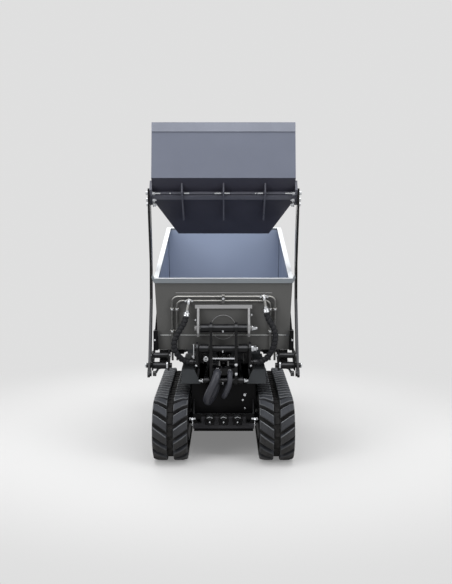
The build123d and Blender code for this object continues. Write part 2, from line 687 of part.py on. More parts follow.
# ---------------------------------------------------------------- shovel
floor_angle = atan2(edge_depth - fold_depth, edge_z - fold_z)
floor_length = hypot(edge_depth - fold_depth, edge_z - fold_z)
back_angle = atan2(fold_z - chute_z, chute_depth - fold_depth)
back_length = hypot(fold_z - chute_z, chute_depth - fold_depth)
floor_plane = Plane(origin=(0, aft(fold_depth), fold_z), x_dir=(1, 0, 0),
                    z_dir=(0, -cos(floor_angle), sin(floor_angle)))
back_plane = Plane(origin=(0, aft(fold_depth), fold_z), x_dir=(1, 0, 0),
                   z_dir=(0, -sin(back_angle), -cos(back_angle)))
full_width_length = 205.0
cheek_height = 60.0
side_top = (aft(214), 1600.0)


def on_back(distance, out=0.0):
    """(Y, Z) of a point on the back wall, measured down it from the fold."""
    return (aft(fold_depth) + distance * cos(back_angle) - out * sin(back_angle),
            fold_z - distance * sin(back_angle) - out * cos(back_angle))


def on_floor(distance, out=0.0):
    """(Y, Z) of a point on the shovel's floor, measured up it from the fold."""
    return (aft(fold_depth) + distance * sin(floor_angle) - out * cos(floor_angle),
            fold_z + distance * cos(floor_angle) + out * sin(floor_angle))


blade_seat = floor_length - edge_width
with BuildPart() as shell:
    with BuildSketch(floor_plane.offset(-shovel_sheet)):
        with Locations((0, blade_seat / 2)):
            Rectangle(2 * shovel_half, blade_seat)
    extrude(amount=shovel_sheet)
    with BuildSketch(back_plane.offset(-shovel_sheet)):
        Polygon((-shovel_half, 0), (shovel_half, 0), (shovel_half, -full_width_length), (chute_half, -back_length),
                (-chute_half, -back_length), (-shovel_half, -full_width_length), align=None)
    extrude(amount=shovel_sheet)
    for side in (-1, 1):
        low = min(side * shovel_half, side * (shovel_half - shovel_sheet))
        add(plate_in_yz([on_floor(0), on_floor(blade_seat), (side_top[0], side_top[1]),
                         on_back(full_width_length, -cheek_height), on_back(full_width_length)],
                        low, low + shovel_sheet))
        with BuildSketch(back_plane.offset(-cheek_height)):
            Polygon((side * shovel_half, -full_width_length), (side * chute_half, -back_length),
                    (side * (chute_half - shovel_sheet), -back_length),
                    (side * (shovel_half - shovel_sheet), -full_width_length), align=None)
        extrude(amount=cheek_height)
save(shell.part, "shovel_shell")

with BuildPart() as edge:
    with BuildSketch(floor_plane.offset(-shovel_sheet)):
        with Locations((0, blade_seat + edge_width / 2)):
            Rectangle(2 * shovel_half, edge_width)
    extrude(amount=edge_plate)
save(edge.part, "cutting_edge")

tube_size = 32.0
tube_at = 136.0
rib_plate = 8.0
rib_height = 30.0
rib_pitch = 230.0
ear_in, ear_out = shovel_half, arm_inside
with BuildPart() as back_frame:
    add(plate_in_yz([on_back(tube_at - tube_size / 2), on_back(tube_at + tube_size / 2),
                     on_back(tube_at + tube_size / 2, tube_size), on_back(tube_at - tube_size / 2, tube_size)],
                    -ear_out, ear_out))
    for index in (-1, 0, 1):
        middle = rib_pitch * index
        add(plate_in_yz([on_back(44), on_back(375), on_back(340, rib_height + 8), on_back(80, rib_height + 8)],
                        middle - rib_plate / 2, middle + rib_plate / 2))
    for side in (-1, 1):
        add(plate_in_yz([on_back(60, -30), on_back(60, 34), on_back(190, 40), on_back(204, -30)],
                        min(side * ear_in, side * ear_out), max(side * ear_in, side * ear_out)))
    rod_y, rod_z = on_back(tube_at - tube_size / 2 - 14, 22)
    add(pin_along_x(5, -ear_out, ear_out, rod_y, rod_z))
save(back_frame.part, "shovel_frame")


# ---------------------------------------------------------------- hydraulic cylinders
rod_overlap = 22.0


def cylinder(base, eye, barrel_radius, rod_radius, eye_half, base_bore, barrel_share, extends, retracts, x=0.0):
    """A barrel with its base eye and a rod with its far eye, in the YZ plane at x.

    The rod reaches far enough in for its stroke, and the bore far enough down.
    """
    by, bz = aft(base[0]), base[1]
    length = hypot(eye[0] - base[0], eye[1] - base[1])
    dy, dz = (eye[0] - base[0]) / length, (eye[1] - base[1]) / length
    along = Plane(origin=(x, by, bz), x_dir=(1, 0, 0), z_dir=(0, dy, dz))
    eye_radius = barrel_radius - 4
    barrel_end = length * barrel_share
    with BuildPart() as barrel:
        add(pin_along_x(eye_radius, x - eye_half, x + eye_half, by, bz))
        barrel_start = base_bore + 3
        with BuildSketch(along.offset(barrel_start)):
            Circle(barrel_radius)
        extrude(amount=barrel_end - barrel_start)
        add(pin_along_x(base_bore, x - eye_half - 1, x + eye_half + 1, by, bz), mode=Mode.SUBTRACT)
        bore = extends + retracts + 2 * rod_overlap
        with BuildSketch(along.offset(barrel_end - bore)):
            Circle(rod_radius + fit)
        extrude(amount=bore + 1, mode=Mode.SUBTRACT)
    with BuildPart() as rod:
        inside = extends + rod_overlap
        with BuildSketch(along.offset(barrel_end - inside)):
            Circle(rod_radius)
        extrude(amount=length - barrel_end + inside - eye_radius / 2)
        add(pin_along_x(eye_radius, x - eye_half, x + eye_half, by + dy * length, bz + dz * length))
    return barrel.part, rod.part


tip_barrel, tip_rod = cylinder(tip_base, tip_eye, 25, 14, 20, tip_pin_radius + fit, 0.74, 192, 0)
save(tip_barrel, "tip_barrel")
save(tip_rod, "tip_rod")
lift_barrel, lift_rod = cylinder(lift_base, lift_eye, 32, 17, 32, lift_pin_radius + fit, 0.82, 232, 0)
save(lift_barrel, "lift_barrel")
save(lift_rod, "lift_rod")
dip_barrel, dip_rod = cylinder(dip_base, dip_eye, 18, 10, 9, dip_pin_radius + fit, 0.50, 0, 141, dip_plane)
save(Compound(children=both_sides(dip_barrel.solid())), "dip_barrels")
save(Compound(children=both_sides(dip_rod.solid())), "dip_rods")

# ---------------------------------------------------------------- engine and rear end
deck_z = chassis_top
engine_low, engine_top = deck_z + 8, 620.0
with BuildPart() as engine:
    add(box_between((-engine_half + 20, aft(1190), engine_low), (engine_half - 20, aft(1440), engine_top)))
save(engine.part, "engine_block")

housing_low = 420.0
housing_front = 1172.0
with BuildPart() as housing:
    add(box_between((-chassis_half, aft(housing_front), deck_z), (chassis_half, aft(hood_rear), deck_z + 8)))
    for side in (-1, 1):
        add(box_between((min(side * chassis_inside, side * chassis_half), aft(housing_front), deck_z),
                        (max(side * chassis_inside, side * chassis_half), aft(hood_rear), housing_low + 5)))
        add(box_between((min(side * chassis_inside, side * hood_half), aft(housing_front), housing_low),
                        (max(side * chassis_inside, side * hood_half), aft(hood_rear), housing_low + 5)))
        add(box_between((min(side * (hood_half - 5), side * hood_half), aft(housing_front), housing_low),
                        (max(side * (hood_half - 5), side * hood_half), aft(hood_rear), hood_low - running_gap)))
        for index in range(6):
            y = aft(housing_front) + 62 + index * 36
            add(box_between((min(side * (hood_half - 8), side * (hood_half + 3)), y, housing_low + 50),
                            (max(side * (hood_half - 8), side * (hood_half + 3)), y + 14, hood_low - 50)),
                mode=Mode.SUBTRACT)
    for low in (housing_front, hood_rear - 5):
        add(box_between((-hood_half, aft(low), housing_low), (hood_half, aft(low + 5), hood_low - running_gap)))
    add(box_between((-200, aft(hood_rear), 560), (200, aft(hood_rear + 10), hood_low - running_gap)))
save(housing.part, "engine_housing")

with BuildPart() as hood:
    add(box_between((-hood_half, aft(hood_front + 42), hood_low), (hood_half, aft(hood_rear), hood_top)))
    fillet(hood.edges().filter_by(Axis.Y).group_by(Axis.Z)[-1], 40)
    offset(amount=-hood_sheet, openings=hood.faces().sort_by(Axis.Z)[0])
    for side in (-1, 1):
        inner, outer = sorted((side * 132, side * 142))
        add(box_between((inner, aft(hood_rear) - 14, hood_top - 2), (outer, aft(hood_rear) + 6, hinge_z + 6)))
        add(pin_along_x(hinge_pin + fit, inner - 1, outer + 1, aft(hood_rear), hinge_z), mode=Mode.SUBTRACT)
save(hood.part, "hood")

with BuildPart() as console:
    add(plate_in_yz([(aft(console_front), 560), (aft(console_front), console_top), (aft(console_front + 24), console_top),
                     (aft(console_rear), console_top - console_fall), (aft(console_rear), console_top - 110),
                     (aft(console_rear - 20), hood_low), (aft(console_front + 30), 560)],
                    -console_half, console_half))
    for side in (-1, 1):
        inner, outer = sorted((side * 120, side * 128))
        add(pin_along_x(6, inner, outer, aft(hood_rear), hinge_z))
        add(box_between((inner, aft(hood_rear), hinge_z - 6), (outer, aft(console_front) + 5, hinge_z + 6)))
        add(pin_along_x(hinge_pin, *sorted((side * 124, side * 146)), aft(hood_rear), hinge_z))
save(console.part, "console")

lever_count = 6
lever_pitch = 50.0
lever_length = 76.0
knob_radius = 14.0
slope_run = console_rear - console_front - 24
slope_angle = atan2(console_fall, slope_run)
levers = []
for index in range(lever_count):
    seat = Plane(
        origin=(lever_pitch * (index - (lever_count - 1) / 2), aft(console_rear - slope_run / 2),
                console_top - console_fall / 2),
        x_dir=(1, 0, 0), z_dir=(0, sin(slope_angle), cos(slope_angle)))
    with BuildPart() as lever:
        with BuildSketch(seat):
            Circle(11)
        extrude(amount=8)
        with BuildSketch(seat):
            Circle(5)
        extrude(amount=lever_length)
        with Locations(seat.offset(lever_length + knob_radius - 3).location):
            Sphere(knob_radius)
    levers.append(lever.part.solid())
save(Compound(children=levers), "control_levers")

bar_root, bar_rear = aft(console_front + 40), aft(console_front + 170)
with BuildPart() as handlebar:
    with BuildLine() as path:
        FilletPolyline((-console_half, bar_root, 900), (-236, bar_root, 900), (-236, bar_rear, 940),
                       (236, bar_rear, 940), (236, bar_root, 900), (console_half, bar_root, 900), radius=28)
    with BuildSketch(Plane(origin=path.line @ 0, z_dir=path.line % 0)):
        Circle(13)
    sweep(path=path.line)
save(handlebar.part, "handlebar")

tank_in, tank_out = hood_half, 385.0
tanks = []
for side, name in ((-1, "fuel_tank"), (1, "hydraulic_tank")):
    with BuildPart() as tank:
        add(box_between((min(side * tank_in, side * tank_out), aft(1200), 425),
                        (max(side * tank_in, side * tank_out), aft(1450), 640)))
        fillet(tank.edges().filter_by(Axis.Y), 18)
        with Locations(((side * (tank_in + tank_out) / 2), aft(1260), 640)):
            Cylinder(26, 36, align=(Align.CENTER, Align.CENTER, Align.MIN))
    save(tank.part, name)

with BuildPart() as muffler:
    axis_x = hood_half + muffler_off
    with Locations(Location((axis_x, aft(muffler_depth), muffler_z), (90, 0, 0))):
        Cylinder(muffler_radius, muffler_length)
    add(box_between((hood_half, aft(hood_rear) - 25, hood_low - 60), (axis_x + 10, aft(hood_rear) - 15, muffler_z - 10)))
    with Locations((axis_x, aft(muffler_depth) + 45, muffler_z + muffler_radius + 30)):
        Cylinder(16, 120)
save(muffler.part, "muffler")

with BuildPart() as rear:
    add(box_between((-platform_half, aft(rear_plate_depth), 150), (platform_half, aft(rear_plate_depth) + 10, housing_low - 1)))
    for side in (-1, 1):
        add(box_between((min(side * 120, side * 132), aft(chassis_rear), 150),
                        (max(side * 120, side * 132), aft(rear_plate_depth), 340)))
        inner, outer = sorted((side * 196, side * 208))
        add(box_between((inner, aft(rear_plate_depth) + 10, platform_z - 12), (outer, aft(platform_front) + 8, platform_z + 12)))
        add(pin_along_x(12, inner, outer, aft(platform_front) + 8, platform_z))
        add(pin_along_x(8, *sorted((side * 180, side * 224)), aft(platform_front) + 8, platform_z))
    add(box_between((-tow_half, aft(rear_plate_depth) + 5, tow_low), (tow_half, aft(tow_depth) + tow_half, tow_low + tow_plate)))
    with Locations((0, aft(tow_depth), tow_low + tow_plate / 2)):
        Cylinder(tow_radius, tow_plate, mode=Mode.SUBTRACT)
save(rear.part, "rear_bumper")

with BuildPart() as platform:
    plate_front = aft(platform_front) + 30
    add(box_between((-platform_half, plate_front, platform_z - 3), (platform_half, aft(platform_rear), platform_z + 3)))
    for side in (-1, 1):
        for inner in (182, 212):
            add(box_between((min(side * inner, side * (inner + 10)), aft(platform_front), platform_z - 9),
                            (max(side * inner, side * (inner + 10)), plate_front + 30, platform_z + 9)))
            add(pin_along_x(8 + fit, *sorted((side * (inner - 1), side * (inner + 11))),
                            aft(platform_front) + 8, platform_z), mode=Mode.SUBTRACT)
save(platform.part, "platform")


# ---------------------------------------------------------------- hoses
def hose(route, radius, name):
    """A hose along a route of points: straight runs joined by tangent arcs."""
    points = [Vector(x, aft(depth), z) for x, depth, z in route]
    radii = []
    for before, here, after in zip(points, points[1:], points[2:]):
        turn = radians((here - before).get_angle(after - here))
        radii.append(0.45 * min((here - before).length, (after - here).length) / tan(turn / 2))
    with BuildPart() as tube:
        with BuildLine() as path:
            FilletPolyline(*points, radius=radii)
        with BuildSketch(Plane(origin=path.line @ 0, z_dir=path.line % 0)):
            Circle(radius)
        sweep(path=path.line)
    length = sum(edge.length for edge in path.edges())
    share = tube.part.volume / (pi * radius**2 * length)
    print(name, "length", round(length), "radii", [round(r) for r in radii], "volume share", round(share, 4))
    save(tube.part, name)


wrapped_radius = 16.0
wide_radius = 22.0
slim_radius = 14.0
hose([(-205.1, 37.7, 837.3), (-213, 19.4, 790), (-252, 0, 736), (-280, -4, 672), (-262, 8, 610), (-216, 44, 560),
      (-168.2, 44, 560)], wrapped_radius, "wrapped_hose_left")
hose([(236.1, 37.7, 859.3), (243, 22.1, 812), (280, 6, 762), (292, 0, 698), (268, 8, 622), (220, 44, 560),
      (168.2, 44, 560)], wrapped_radius, "wrapped_hose_right")
hose([(-34, 29.8, 507), (-34, -12, 507), (-50, -26, 458), (-78, -16, 400), (-96, 8, 352), (-86, 52, 330),
      (-58, 88, 362), (-36, 92, 424), (-36, 92, 487.8)], wide_radius, "tip_hose_left")
hose([(36, 29.8, 507), (36, -12, 507), (36, -24, 450), (16, -12, 398), (0, 26, 362), (6, 72, 376),
      (26, 92, 428), (26, 92, 487.8)], slim_radius, "tip_hose_right")
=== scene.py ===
import bpy
import bmesh
import math
from collections import namedtuple
from mathutils import Matrix, Vector


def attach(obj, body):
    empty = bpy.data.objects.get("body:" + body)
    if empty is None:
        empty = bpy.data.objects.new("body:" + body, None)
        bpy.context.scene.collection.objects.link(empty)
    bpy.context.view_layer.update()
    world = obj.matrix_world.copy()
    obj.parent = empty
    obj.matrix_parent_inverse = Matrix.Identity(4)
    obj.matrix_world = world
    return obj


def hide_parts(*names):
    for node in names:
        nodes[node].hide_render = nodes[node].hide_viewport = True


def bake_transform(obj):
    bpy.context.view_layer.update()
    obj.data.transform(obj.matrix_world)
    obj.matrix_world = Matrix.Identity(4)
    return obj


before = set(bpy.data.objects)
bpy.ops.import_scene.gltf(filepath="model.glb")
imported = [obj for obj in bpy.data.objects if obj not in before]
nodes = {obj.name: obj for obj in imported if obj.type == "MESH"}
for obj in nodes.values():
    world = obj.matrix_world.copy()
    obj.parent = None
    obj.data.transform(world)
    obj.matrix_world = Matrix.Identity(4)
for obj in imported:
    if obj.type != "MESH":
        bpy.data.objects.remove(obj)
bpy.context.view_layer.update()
scene = bpy.context.scene
scene.view_settings.view_transform = "Standard"

# ---------------------------------------------------------------- rubber tracks
# A moulded rubber belt with a steel cord core. Two staggered columns of slanted
# lugs meet in a V, either side of a plain strip where worn steel blocks show.
plane_y = -0.81573  # Y of the front plane, from which depths are counted


def at(x, depth, z):
    """A place from X, depth behind the front plane and height, all in millimetres."""
    return Vector((x / 1000, plane_y + depth / 1000, z / 1000))


def srgb(red, green, blue):
    """A screen colour, 0 to 255, as the linear colour a shader wants."""
    return tuple(((c / 255 + 0.055) / 1.055) ** 2.4 if c > 10 else c / 255 / 12.92
                 for c in (red, green, blue)) + (1,)


def feed(tree, source, socket):
    """An input takes another node's output, or a plain value."""
    if isinstance(source, bpy.types.NodeSocket):
        tree.links.new(source, socket)
    else:
        socket.default_value = source


def add_node(tree, kind, **values):
    """A node with its properties and inputs set; in an input's name, _ stands for a space."""
    node = tree.nodes.new(kind)
    for key, value in values.items():
        if key in node.bl_rna.properties:
            setattr(node, key, value)
        else:
            feed(tree, value, node.inputs[key.replace("_", " ")])
    return node


def combined(tree, kind, operation, first, second):
    """A maths node's two inputs, which share one name, are set; its first output is returned."""
    node = add_node(tree, kind, operation=operation)
    feed(tree, first, node.inputs[0])
    feed(tree, second, node.inputs[1])
    return node.outputs[0]


def product(tree, first, second):
    return combined(tree, "ShaderNodeMath", "MULTIPLY", first, second)


def mixed(tree, share, first, second):
    """A share of the second colour over the first."""
    mix = add_node(tree, "ShaderNodeMix", data_type="RGBA")
    share_in, first_in, second_in, colour_out = mix.inputs[0], mix.inputs[6], mix.inputs[7], mix.outputs[2]
    feed(tree, share, share_in)
    feed(tree, first, first_in)
    feed(tree, second, second_in)
    return colour_out


surface_wear = bpy.data.node_groups.new("surface_wear", "ShaderNodeTree")
for name, value in (("Scale", 6.0), ("Dust", 0.3), ("Dust top", 0.5)):
    socket = surface_wear.interface.new_socket(name, in_out="INPUT", socket_type="NodeSocketFloat")
    socket.default_value = value
for name in ("Patches", "Scratches", "Dust", "Peel"):
    surface_wear.interface.new_socket(name, in_out="OUTPUT", socket_type="NodeSocketFloat")
given = surface_wear.nodes.new("NodeGroupInput").outputs
masks = surface_wear.nodes.new("NodeGroupOutput").inputs
here = surface_wear.nodes.new("ShaderNodeTexCoord").outputs["Object"]

blotches = add_node(surface_wear, "ShaderNodeTexNoise", Vector=here, Scale=given["Scale"], Detail=5.0,
                    Roughness=0.6)
patches = add_node(surface_wear, "ShaderNodeMapRange", Value=blotches.outputs["Fac"], From_Min=0.35,
                   From_Max=0.7)
feed(surface_wear, patches.outputs["Result"], masks["Patches"])

stretched = add_node(surface_wear, "ShaderNodeMapping", Vector=here, Scale=(14, 90, 34),
                     Rotation=(0.3, 0.5, 0.4))
streaks = add_node(surface_wear, "ShaderNodeTexNoise", Vector=stretched.outputs["Vector"], Scale=1.6,
                   Detail=8.0, Roughness=0.65)
scratches = add_node(surface_wear, "ShaderNodeMapRange", Value=streaks.outputs["Fac"], From_Min=0.66,
                     From_Max=0.78)
feed(surface_wear, scratches.outputs["Result"], masks["Scratches"])

height = add_node(surface_wear, "ShaderNodeSeparateXYZ", Vector=here).outputs["Z"]
lowness = add_node(surface_wear, "ShaderNodeMapRange", Value=height, From_Min=0.0, From_Max=given["Dust top"],
                   To_Min=1.0, To_Max=0.0)
speckle = add_node(surface_wear, "ShaderNodeTexNoise", Vector=here, Scale=24.0, Detail=9.0, Roughness=0.7)
settled = product(surface_wear, lowness.outputs["Result"], speckle.outputs["Fac"])
feed(surface_wear, product(surface_wear, settled, given["Dust"]), masks["Dust"])

peel = add_node(surface_wear, "ShaderNodeTexNoise", Vector=here, Scale=420.0, Detail=2.0)
feed(surface_wear, peel.outputs["Fac"], masks["Peel"])

dust_tone = (0.26, 0.25, 0.235, 1)


def paler(colour, gain, lift):
    return tuple(min(1, c * gain + lift) for c in colour[:3]) + (1,)


def finish(name, colour, roughness=0.45, specular=0.25, metallic=0.0, worn=0.3, worn_scale=6.0, dust=0.15,
           dust_top=0.6, scratches=0.25, peel_height=0.05, coat=0.0):
    """Paint, rubber or metal: patches of a paler tone, fine scratches, dust low down and orange peel."""
    material = bpy.data.materials.new(name)
    material.use_nodes = True
    tree = material.node_tree
    shader = tree.nodes["Principled BSDF"].inputs
    shader["Metallic"].default_value = metallic
    shader["Specular IOR Level"].default_value = specular
    shader["Coat Weight"].default_value = coat
    wear = add_node(tree, "ShaderNodeGroup", node_tree=surface_wear)
    wear.inputs["Scale"].default_value = worn_scale
    wear.inputs["Dust"].default_value = dust
    wear.inputs["Dust top"].default_value = dust_top
    tone = colour
    for mask, share, layer in (("Patches", worn, paler(colour, 1.3, 0.002)),
                               ("Scratches", scratches, paler(colour, 1.9, 0.01)), ("Dust", 1.0, dust_tone)):
        tone = mixed(tree, product(tree, wear.outputs[mask], share), tone, layer)
    feed(tree, tone, shader["Base Color"])
    uneven = add_node(tree, "ShaderNodeMapRange", Value=wear.outputs["Patches"],
                      To_Min=max(0.03, roughness - 0.06), To_Max=roughness + 0.12)
    feed(tree, uneven.outputs["Result"], shader["Roughness"])
    if peel_height:
        bump = add_node(tree, "ShaderNodeBump", Height=wear.outputs["Peel"], Strength=0.35,
                        Distance=peel_height / 1000)
        feed(tree, bump.outputs["Normal"], shader["Normal"])
    return material


def second_tone(material, mask, colour, low, high):
    """A second colour comes in as a mask, a socket of the material's tree, goes from low to high."""
    tree = material.node_tree
    base = tree.nodes["Principled BSDF"].inputs["Base Color"]
    share = add_node(tree, "ShaderNodeMapRange", Value=mask, From_Min=low, From_Max=high)
    feed(tree, mixed(tree, share.outputs["Result"], base.links[0].from_socket, colour), base)


def upward(material):
    """How far each face looks upward, from -1 to 1."""
    tree = material.node_tree
    normal = tree.nodes.new("ShaderNodeTexCoord").outputs["Normal"]
    return add_node(tree, "ShaderNodeSeparateXYZ", Vector=normal).outputs["Z"]


def join(into, piece):
    """One bmesh is added to another."""
    mesh = bpy.data.meshes.new("joined")
    piece.to_mesh(mesh)
    piece.free()
    into.from_mesh(mesh)
    bpy.data.meshes.remove(mesh)


def solid(name, shape, materials, body, replaced=(), slot=None, smooth=35.0):
    """A finished bmesh becomes a piece that rides on a body; the slot argument is not used."""
    bmesh.ops.recalc_face_normals(shape, faces=shape.faces)
    mesh = bpy.data.meshes.new(name)
    shape.to_mesh(mesh)
    shape.free()
    mesh.shade_smooth()
    mesh.set_sharp_from_angle(angle=math.radians(smooth))
    for material in materials:
        mesh.materials.append(material)
    piece = bpy.data.objects.new(name, mesh)
    scene.collection.objects.link(piece)
    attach(piece, body)
    if replaced:
        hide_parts(*replaced)
    slot or materials[0].name.split(".")[0]
    return piece


wheel_radius, belt_thickness, lug_height = 0.134, 0.022, 0.025
belt_radius = wheel_radius + belt_thickness
loop_height = belt_radius + lug_height  # also the height of the end wheels' axles
wheelbase = 0.880
track_reach = 0.12  # how far the tracks come ahead of the front plane
idler_y = plane_y - track_reach + loop_height
track_inner, track_width, groove = 0.1985, 0.196, 0.032
track_middle = track_inner + track_width / 2
column_width = (track_width - groove) / 2
lug_count, lug_slant = 40, 0.052
lug_foot, lug_tip = 0.056, 0.042  # a lug's length along the belt
lug_taper, lug_root, lug_edge = 0.006, 0.002, 0.0035
shoulder_start, shoulder_drop = 0.9, 0.007  # the outer ends of the lugs are lower
block_foot, block_tip = (0.03, 0.052), (0.026, 0.044)  # steel blocks, across and along the belt
block_root, block_height, block_phase = 0.001, 0.005, 0.25
bend = math.pi * belt_radius
loop_length = 2 * (wheelbase + bend)
lug_pitch = loop_length / lug_count


def on_loop(run, height):
    """(y, z) at a length along the belt, from the bottom's front end, at a height over its outside."""
    run %= loop_length
    radius = belt_radius + height
    if run < wheelbase:
        return idler_y + run, loop_height - radius
    if run < wheelbase + bend:
        turn = (run - wheelbase) / belt_radius
        return idler_y + wheelbase + radius * math.sin(turn), loop_height - radius * math.cos(turn)
    if run < 2 * wheelbase + bend:
        return idler_y + wheelbase - (run - wheelbase - bend), loop_height + radius
    turn = (run - 2 * wheelbase - bend) / belt_radius
    return idler_y - radius * math.sin(turn), loop_height + radius * math.cos(turn)


def wrap(shape, run, across, side):
    """Flat work, with X across, Y along and Z out of the belt, is laid round the loop."""
    for v in shape.verts:
        x, along, height = v.co
        y, z = on_loop(run + along, height)
        v.co = (side * (across + x), y, z)


def belt_sheet():
    """The bare belt, flat, without its two end faces."""
    sheet = bmesh.new()
    bmesh.ops.create_grid(sheet, x_segments=1, y_segments=160, size=0.5)
    just_short = 1 - 1e-7  # so that the far end isn't laid on the near one
    for v in sheet.verts:
        v.co = (v.co.x * track_width, (v.co.y + 0.5) * loop_length * just_short, 0)
    bmesh.ops.solidify(sheet, geom=sheet.faces[:], thickness=belt_thickness)
    top = max(v.co.z for v in sheet.verts)
    bmesh.ops.translate(sheet, vec=(0, 0, -top), verts=sheet.verts)
    ends = [f for f in sheet.faces if len({round(v.co.y, 6) for v in f.verts}) == 1]
    bmesh.ops.delete(sheet, geom=ends, context="FACES_ONLY")
    return sheet


def slanted_lug(column):
    """A lug of the inner or outer column, flat, with paler bevelled edges, a painted highlight, and a low
    outer end.
    """
    lug = bmesh.new()
    bmesh.ops.create_cube(lug, size=1)
    for face in lug.faces:
        face.material_index = 1
    for v in lug.verts:
        out = v.co.z > 0
        v.co.y *= lug_tip if out else lug_foot
        v.co.x *= column_width - (lug_taper if out else 0.0)
        v.co.z = lug_height if out else -lug_root
    across = [e for e in lug.edges if abs(e.verts[0].co.x - e.verts[1].co.x) > column_width / 2]
    bmesh.ops.subdivide_edges(lug, edges=across, cuts=2, use_grid_fill=True)
    lug.normal_update()
    rims = [e for e in lug.edges if all(v.co.z > lug_height - 1e-6 for v in e.verts)
            and min(f.normal.z for f in e.link_faces) < 0.5]
    bmesh.ops.bevel(lug, geom=rims, offset=lug_edge, segments=1, affect="EDGES", profile=0.5, material=2)
    for v in lug.verts:
        outer = (v.co.x * column + column_width / 2) / column_width
        v.co.y += (0.5 - outer) * lug_slant
        if outer > shoulder_start and v.co.z > lug_height / 2:
            v.co.z -= shoulder_drop
    return lug


def steel_block():
    """One of the worn blocks in the strip between the columns, flat."""
    block = bmesh.new()
    bmesh.ops.create_cube(block, size=1)
    for v in block.verts:
        width, length = block_tip if v.co.z > 0 else block_foot
        v.co = (v.co.x * width, v.co.y * length, block_height if v.co.z > 0 else -block_root)
    return block


track_rubber = finish("track_rubber", srgb(24, 25, 28), roughness=0.7, specular=0.2, worn=0.5, worn_scale=14,
                      dust=0.3, dust_top=0.5, peel_height=0.3)
# Painted highlight: the more a face of a lug looks up, the lighter it is.
second_tone(track_rubber, upward(track_rubber), srgb(62, 64, 69), -0.2, 0.7)
belt_rubber = finish("belt_rubber", srgb(15, 15, 17), roughness=0.8, specular=0.15, worn_scale=14, dust=0.25,
                     dust_top=0.5, peel_height=0.3)
# Paler rubber on the lugs' bevelled edges, lighter still where they look up: a painted highlight.
lug_edge_highlight = finish("lug_edge_highlight", srgb(48, 50, 54), roughness=0.6, specular=0.3, worn=0.5, worn_scale=20,
                   dust=0.2)
second_tone(lug_edge_highlight, upward(lug_edge_highlight), srgb(122, 125, 129), 0.2, 0.9)
for side, name in ((-1, "left"), (1, "right")):
    track, belt = bmesh.new(), belt_sheet()
    wrap(belt, 0, track_middle, side)
    bmesh.ops.remove_doubles(belt, verts=belt.verts, dist=0.0004)
    join(track, belt)
    for column, phase in ((-1, 0.0), (1, 0.5)):
        column_middle = track_middle + column * (groove + column_width) / 2
        for index in range(lug_count):
            lug = slanted_lug(column)
            wrap(lug, (index + phase) * lug_pitch, column_middle, side)
            join(track, lug)
    for index in range(lug_count):
        block = steel_block()
        wrap(block, (index + block_phase) * lug_pitch, track_middle, side)
        join(track, block)
    solid("track_belt_" + name, track, [belt_rubber, track_rubber, lug_edge_highlight], "root", ["track_" + name],
          "track_rubber", 30)

# ---------------------------------------------------------------- wheels and track frames
# Cast iron wheels run on fixed axles between two painted rails, held at each end
# by a locking nut. A flange with six bolts closes each end wheel's bearing.
frame_black = finish("frame_black", srgb(9, 9, 11), roughness=0.4, specular=0.1, dust=0.03)
# Painted highlight: faces that look up are lighter.
second_tone(frame_black, upward(frame_black), srgb(58, 59, 61), 0.3, 0.9)
wheel_iron = finish("wheel_iron", srgb(40, 41, 43), roughness=0.55, specular=0.3, dust=0.4, dust_top=0.4)
zinc = finish("zinc", srgb(196, 198, 201), roughness=0.25, specular=0.5, metallic=1.0, worn=0.15, dust=0.05,
              scratches=0.1, peel_height=0.0)


def wears(names, material, bevel=0.0):
    """CAD nodes take a finish, and a small bevel so that their edges catch light."""
    for name in names:
        node = nodes[name]
        node.data.materials.clear()
        node.data.materials.append(material)
        if bevel:
            soften = node.modifiers.new("edges", "BEVEL")
            soften.width = bevel
            soften.segments = 2
            soften.limit_method = "ANGLE"
            soften.angle_limit = math.radians(40)


def turned(shape, where, axis, profile, steps=20, index=0):
    """A round piece: (radius, distance along) pairs in millimetres, spun about an axis through a place."""
    piece = bmesh.new()
    points = [piece.verts.new((radius / 1000, 0, along / 1000)) for radius, along in profile]
    edges = [piece.edges.new(pair) for pair in zip(points, points[1:])]
    bmesh.ops.spin(piece, geom=points + edges, cent=(0, 0, 0), axis=(0, 0, 1), angle=2 * math.pi, steps=steps,
                   use_merge=True)
    bmesh.ops.remove_doubles(piece, verts=piece.verts, dist=1e-6)
    for face in piece.faces:
        face.material_index = index
    turn = Vector(axis).to_track_quat("Z", "Y").to_matrix().to_4x4()
    bmesh.ops.transform(piece, matrix=Matrix.Translation(where) @ turn, verts=piece.verts)
    join(shape, piece)


def disc(radius, start, end):
    """The profile of a plain solid cylinder."""
    return [(0, start), (radius, start), (radius, end), (0, end)]


def washer(bore, radius, thickness):
    """The profile of a flat ring, closed round its bore."""
    return [(bore, 0), (radius, 0), (radius, thickness), (bore, thickness), (bore, 0)]


def hexagon(shape, where, axis, across, start, end, index=0):
    """A six-sided head or nut with its outer corners taken off."""
    piece = bmesh.new()
    radius = across / 2000 / math.cos(math.radians(30))
    bmesh.ops.create_cone(piece, cap_ends=True, segments=6, radius1=radius, radius2=radius,
                          depth=(end - start) / 1000)
    rims = [e for e in piece.edges if abs(e.verts[0].co.z - e.verts[1].co.z) < 1e-6]
    chamfer = across * 0.00006
    bmesh.ops.bevel(piece, geom=rims, offset=chamfer, segments=1, affect="EDGES", profile=0.5, material=-1)
    for face in piece.faces:
        face.material_index = index
    turn = Vector(axis).to_track_quat("Z", "Y").to_matrix().to_4x4()
    middle = Matrix.Translation((0, 0, (start + end) / 2000))
    bmesh.ops.transform(piece, matrix=Matrix.Translation(where) @ turn @ middle, verts=piece.verts)
    join(shape, piece)


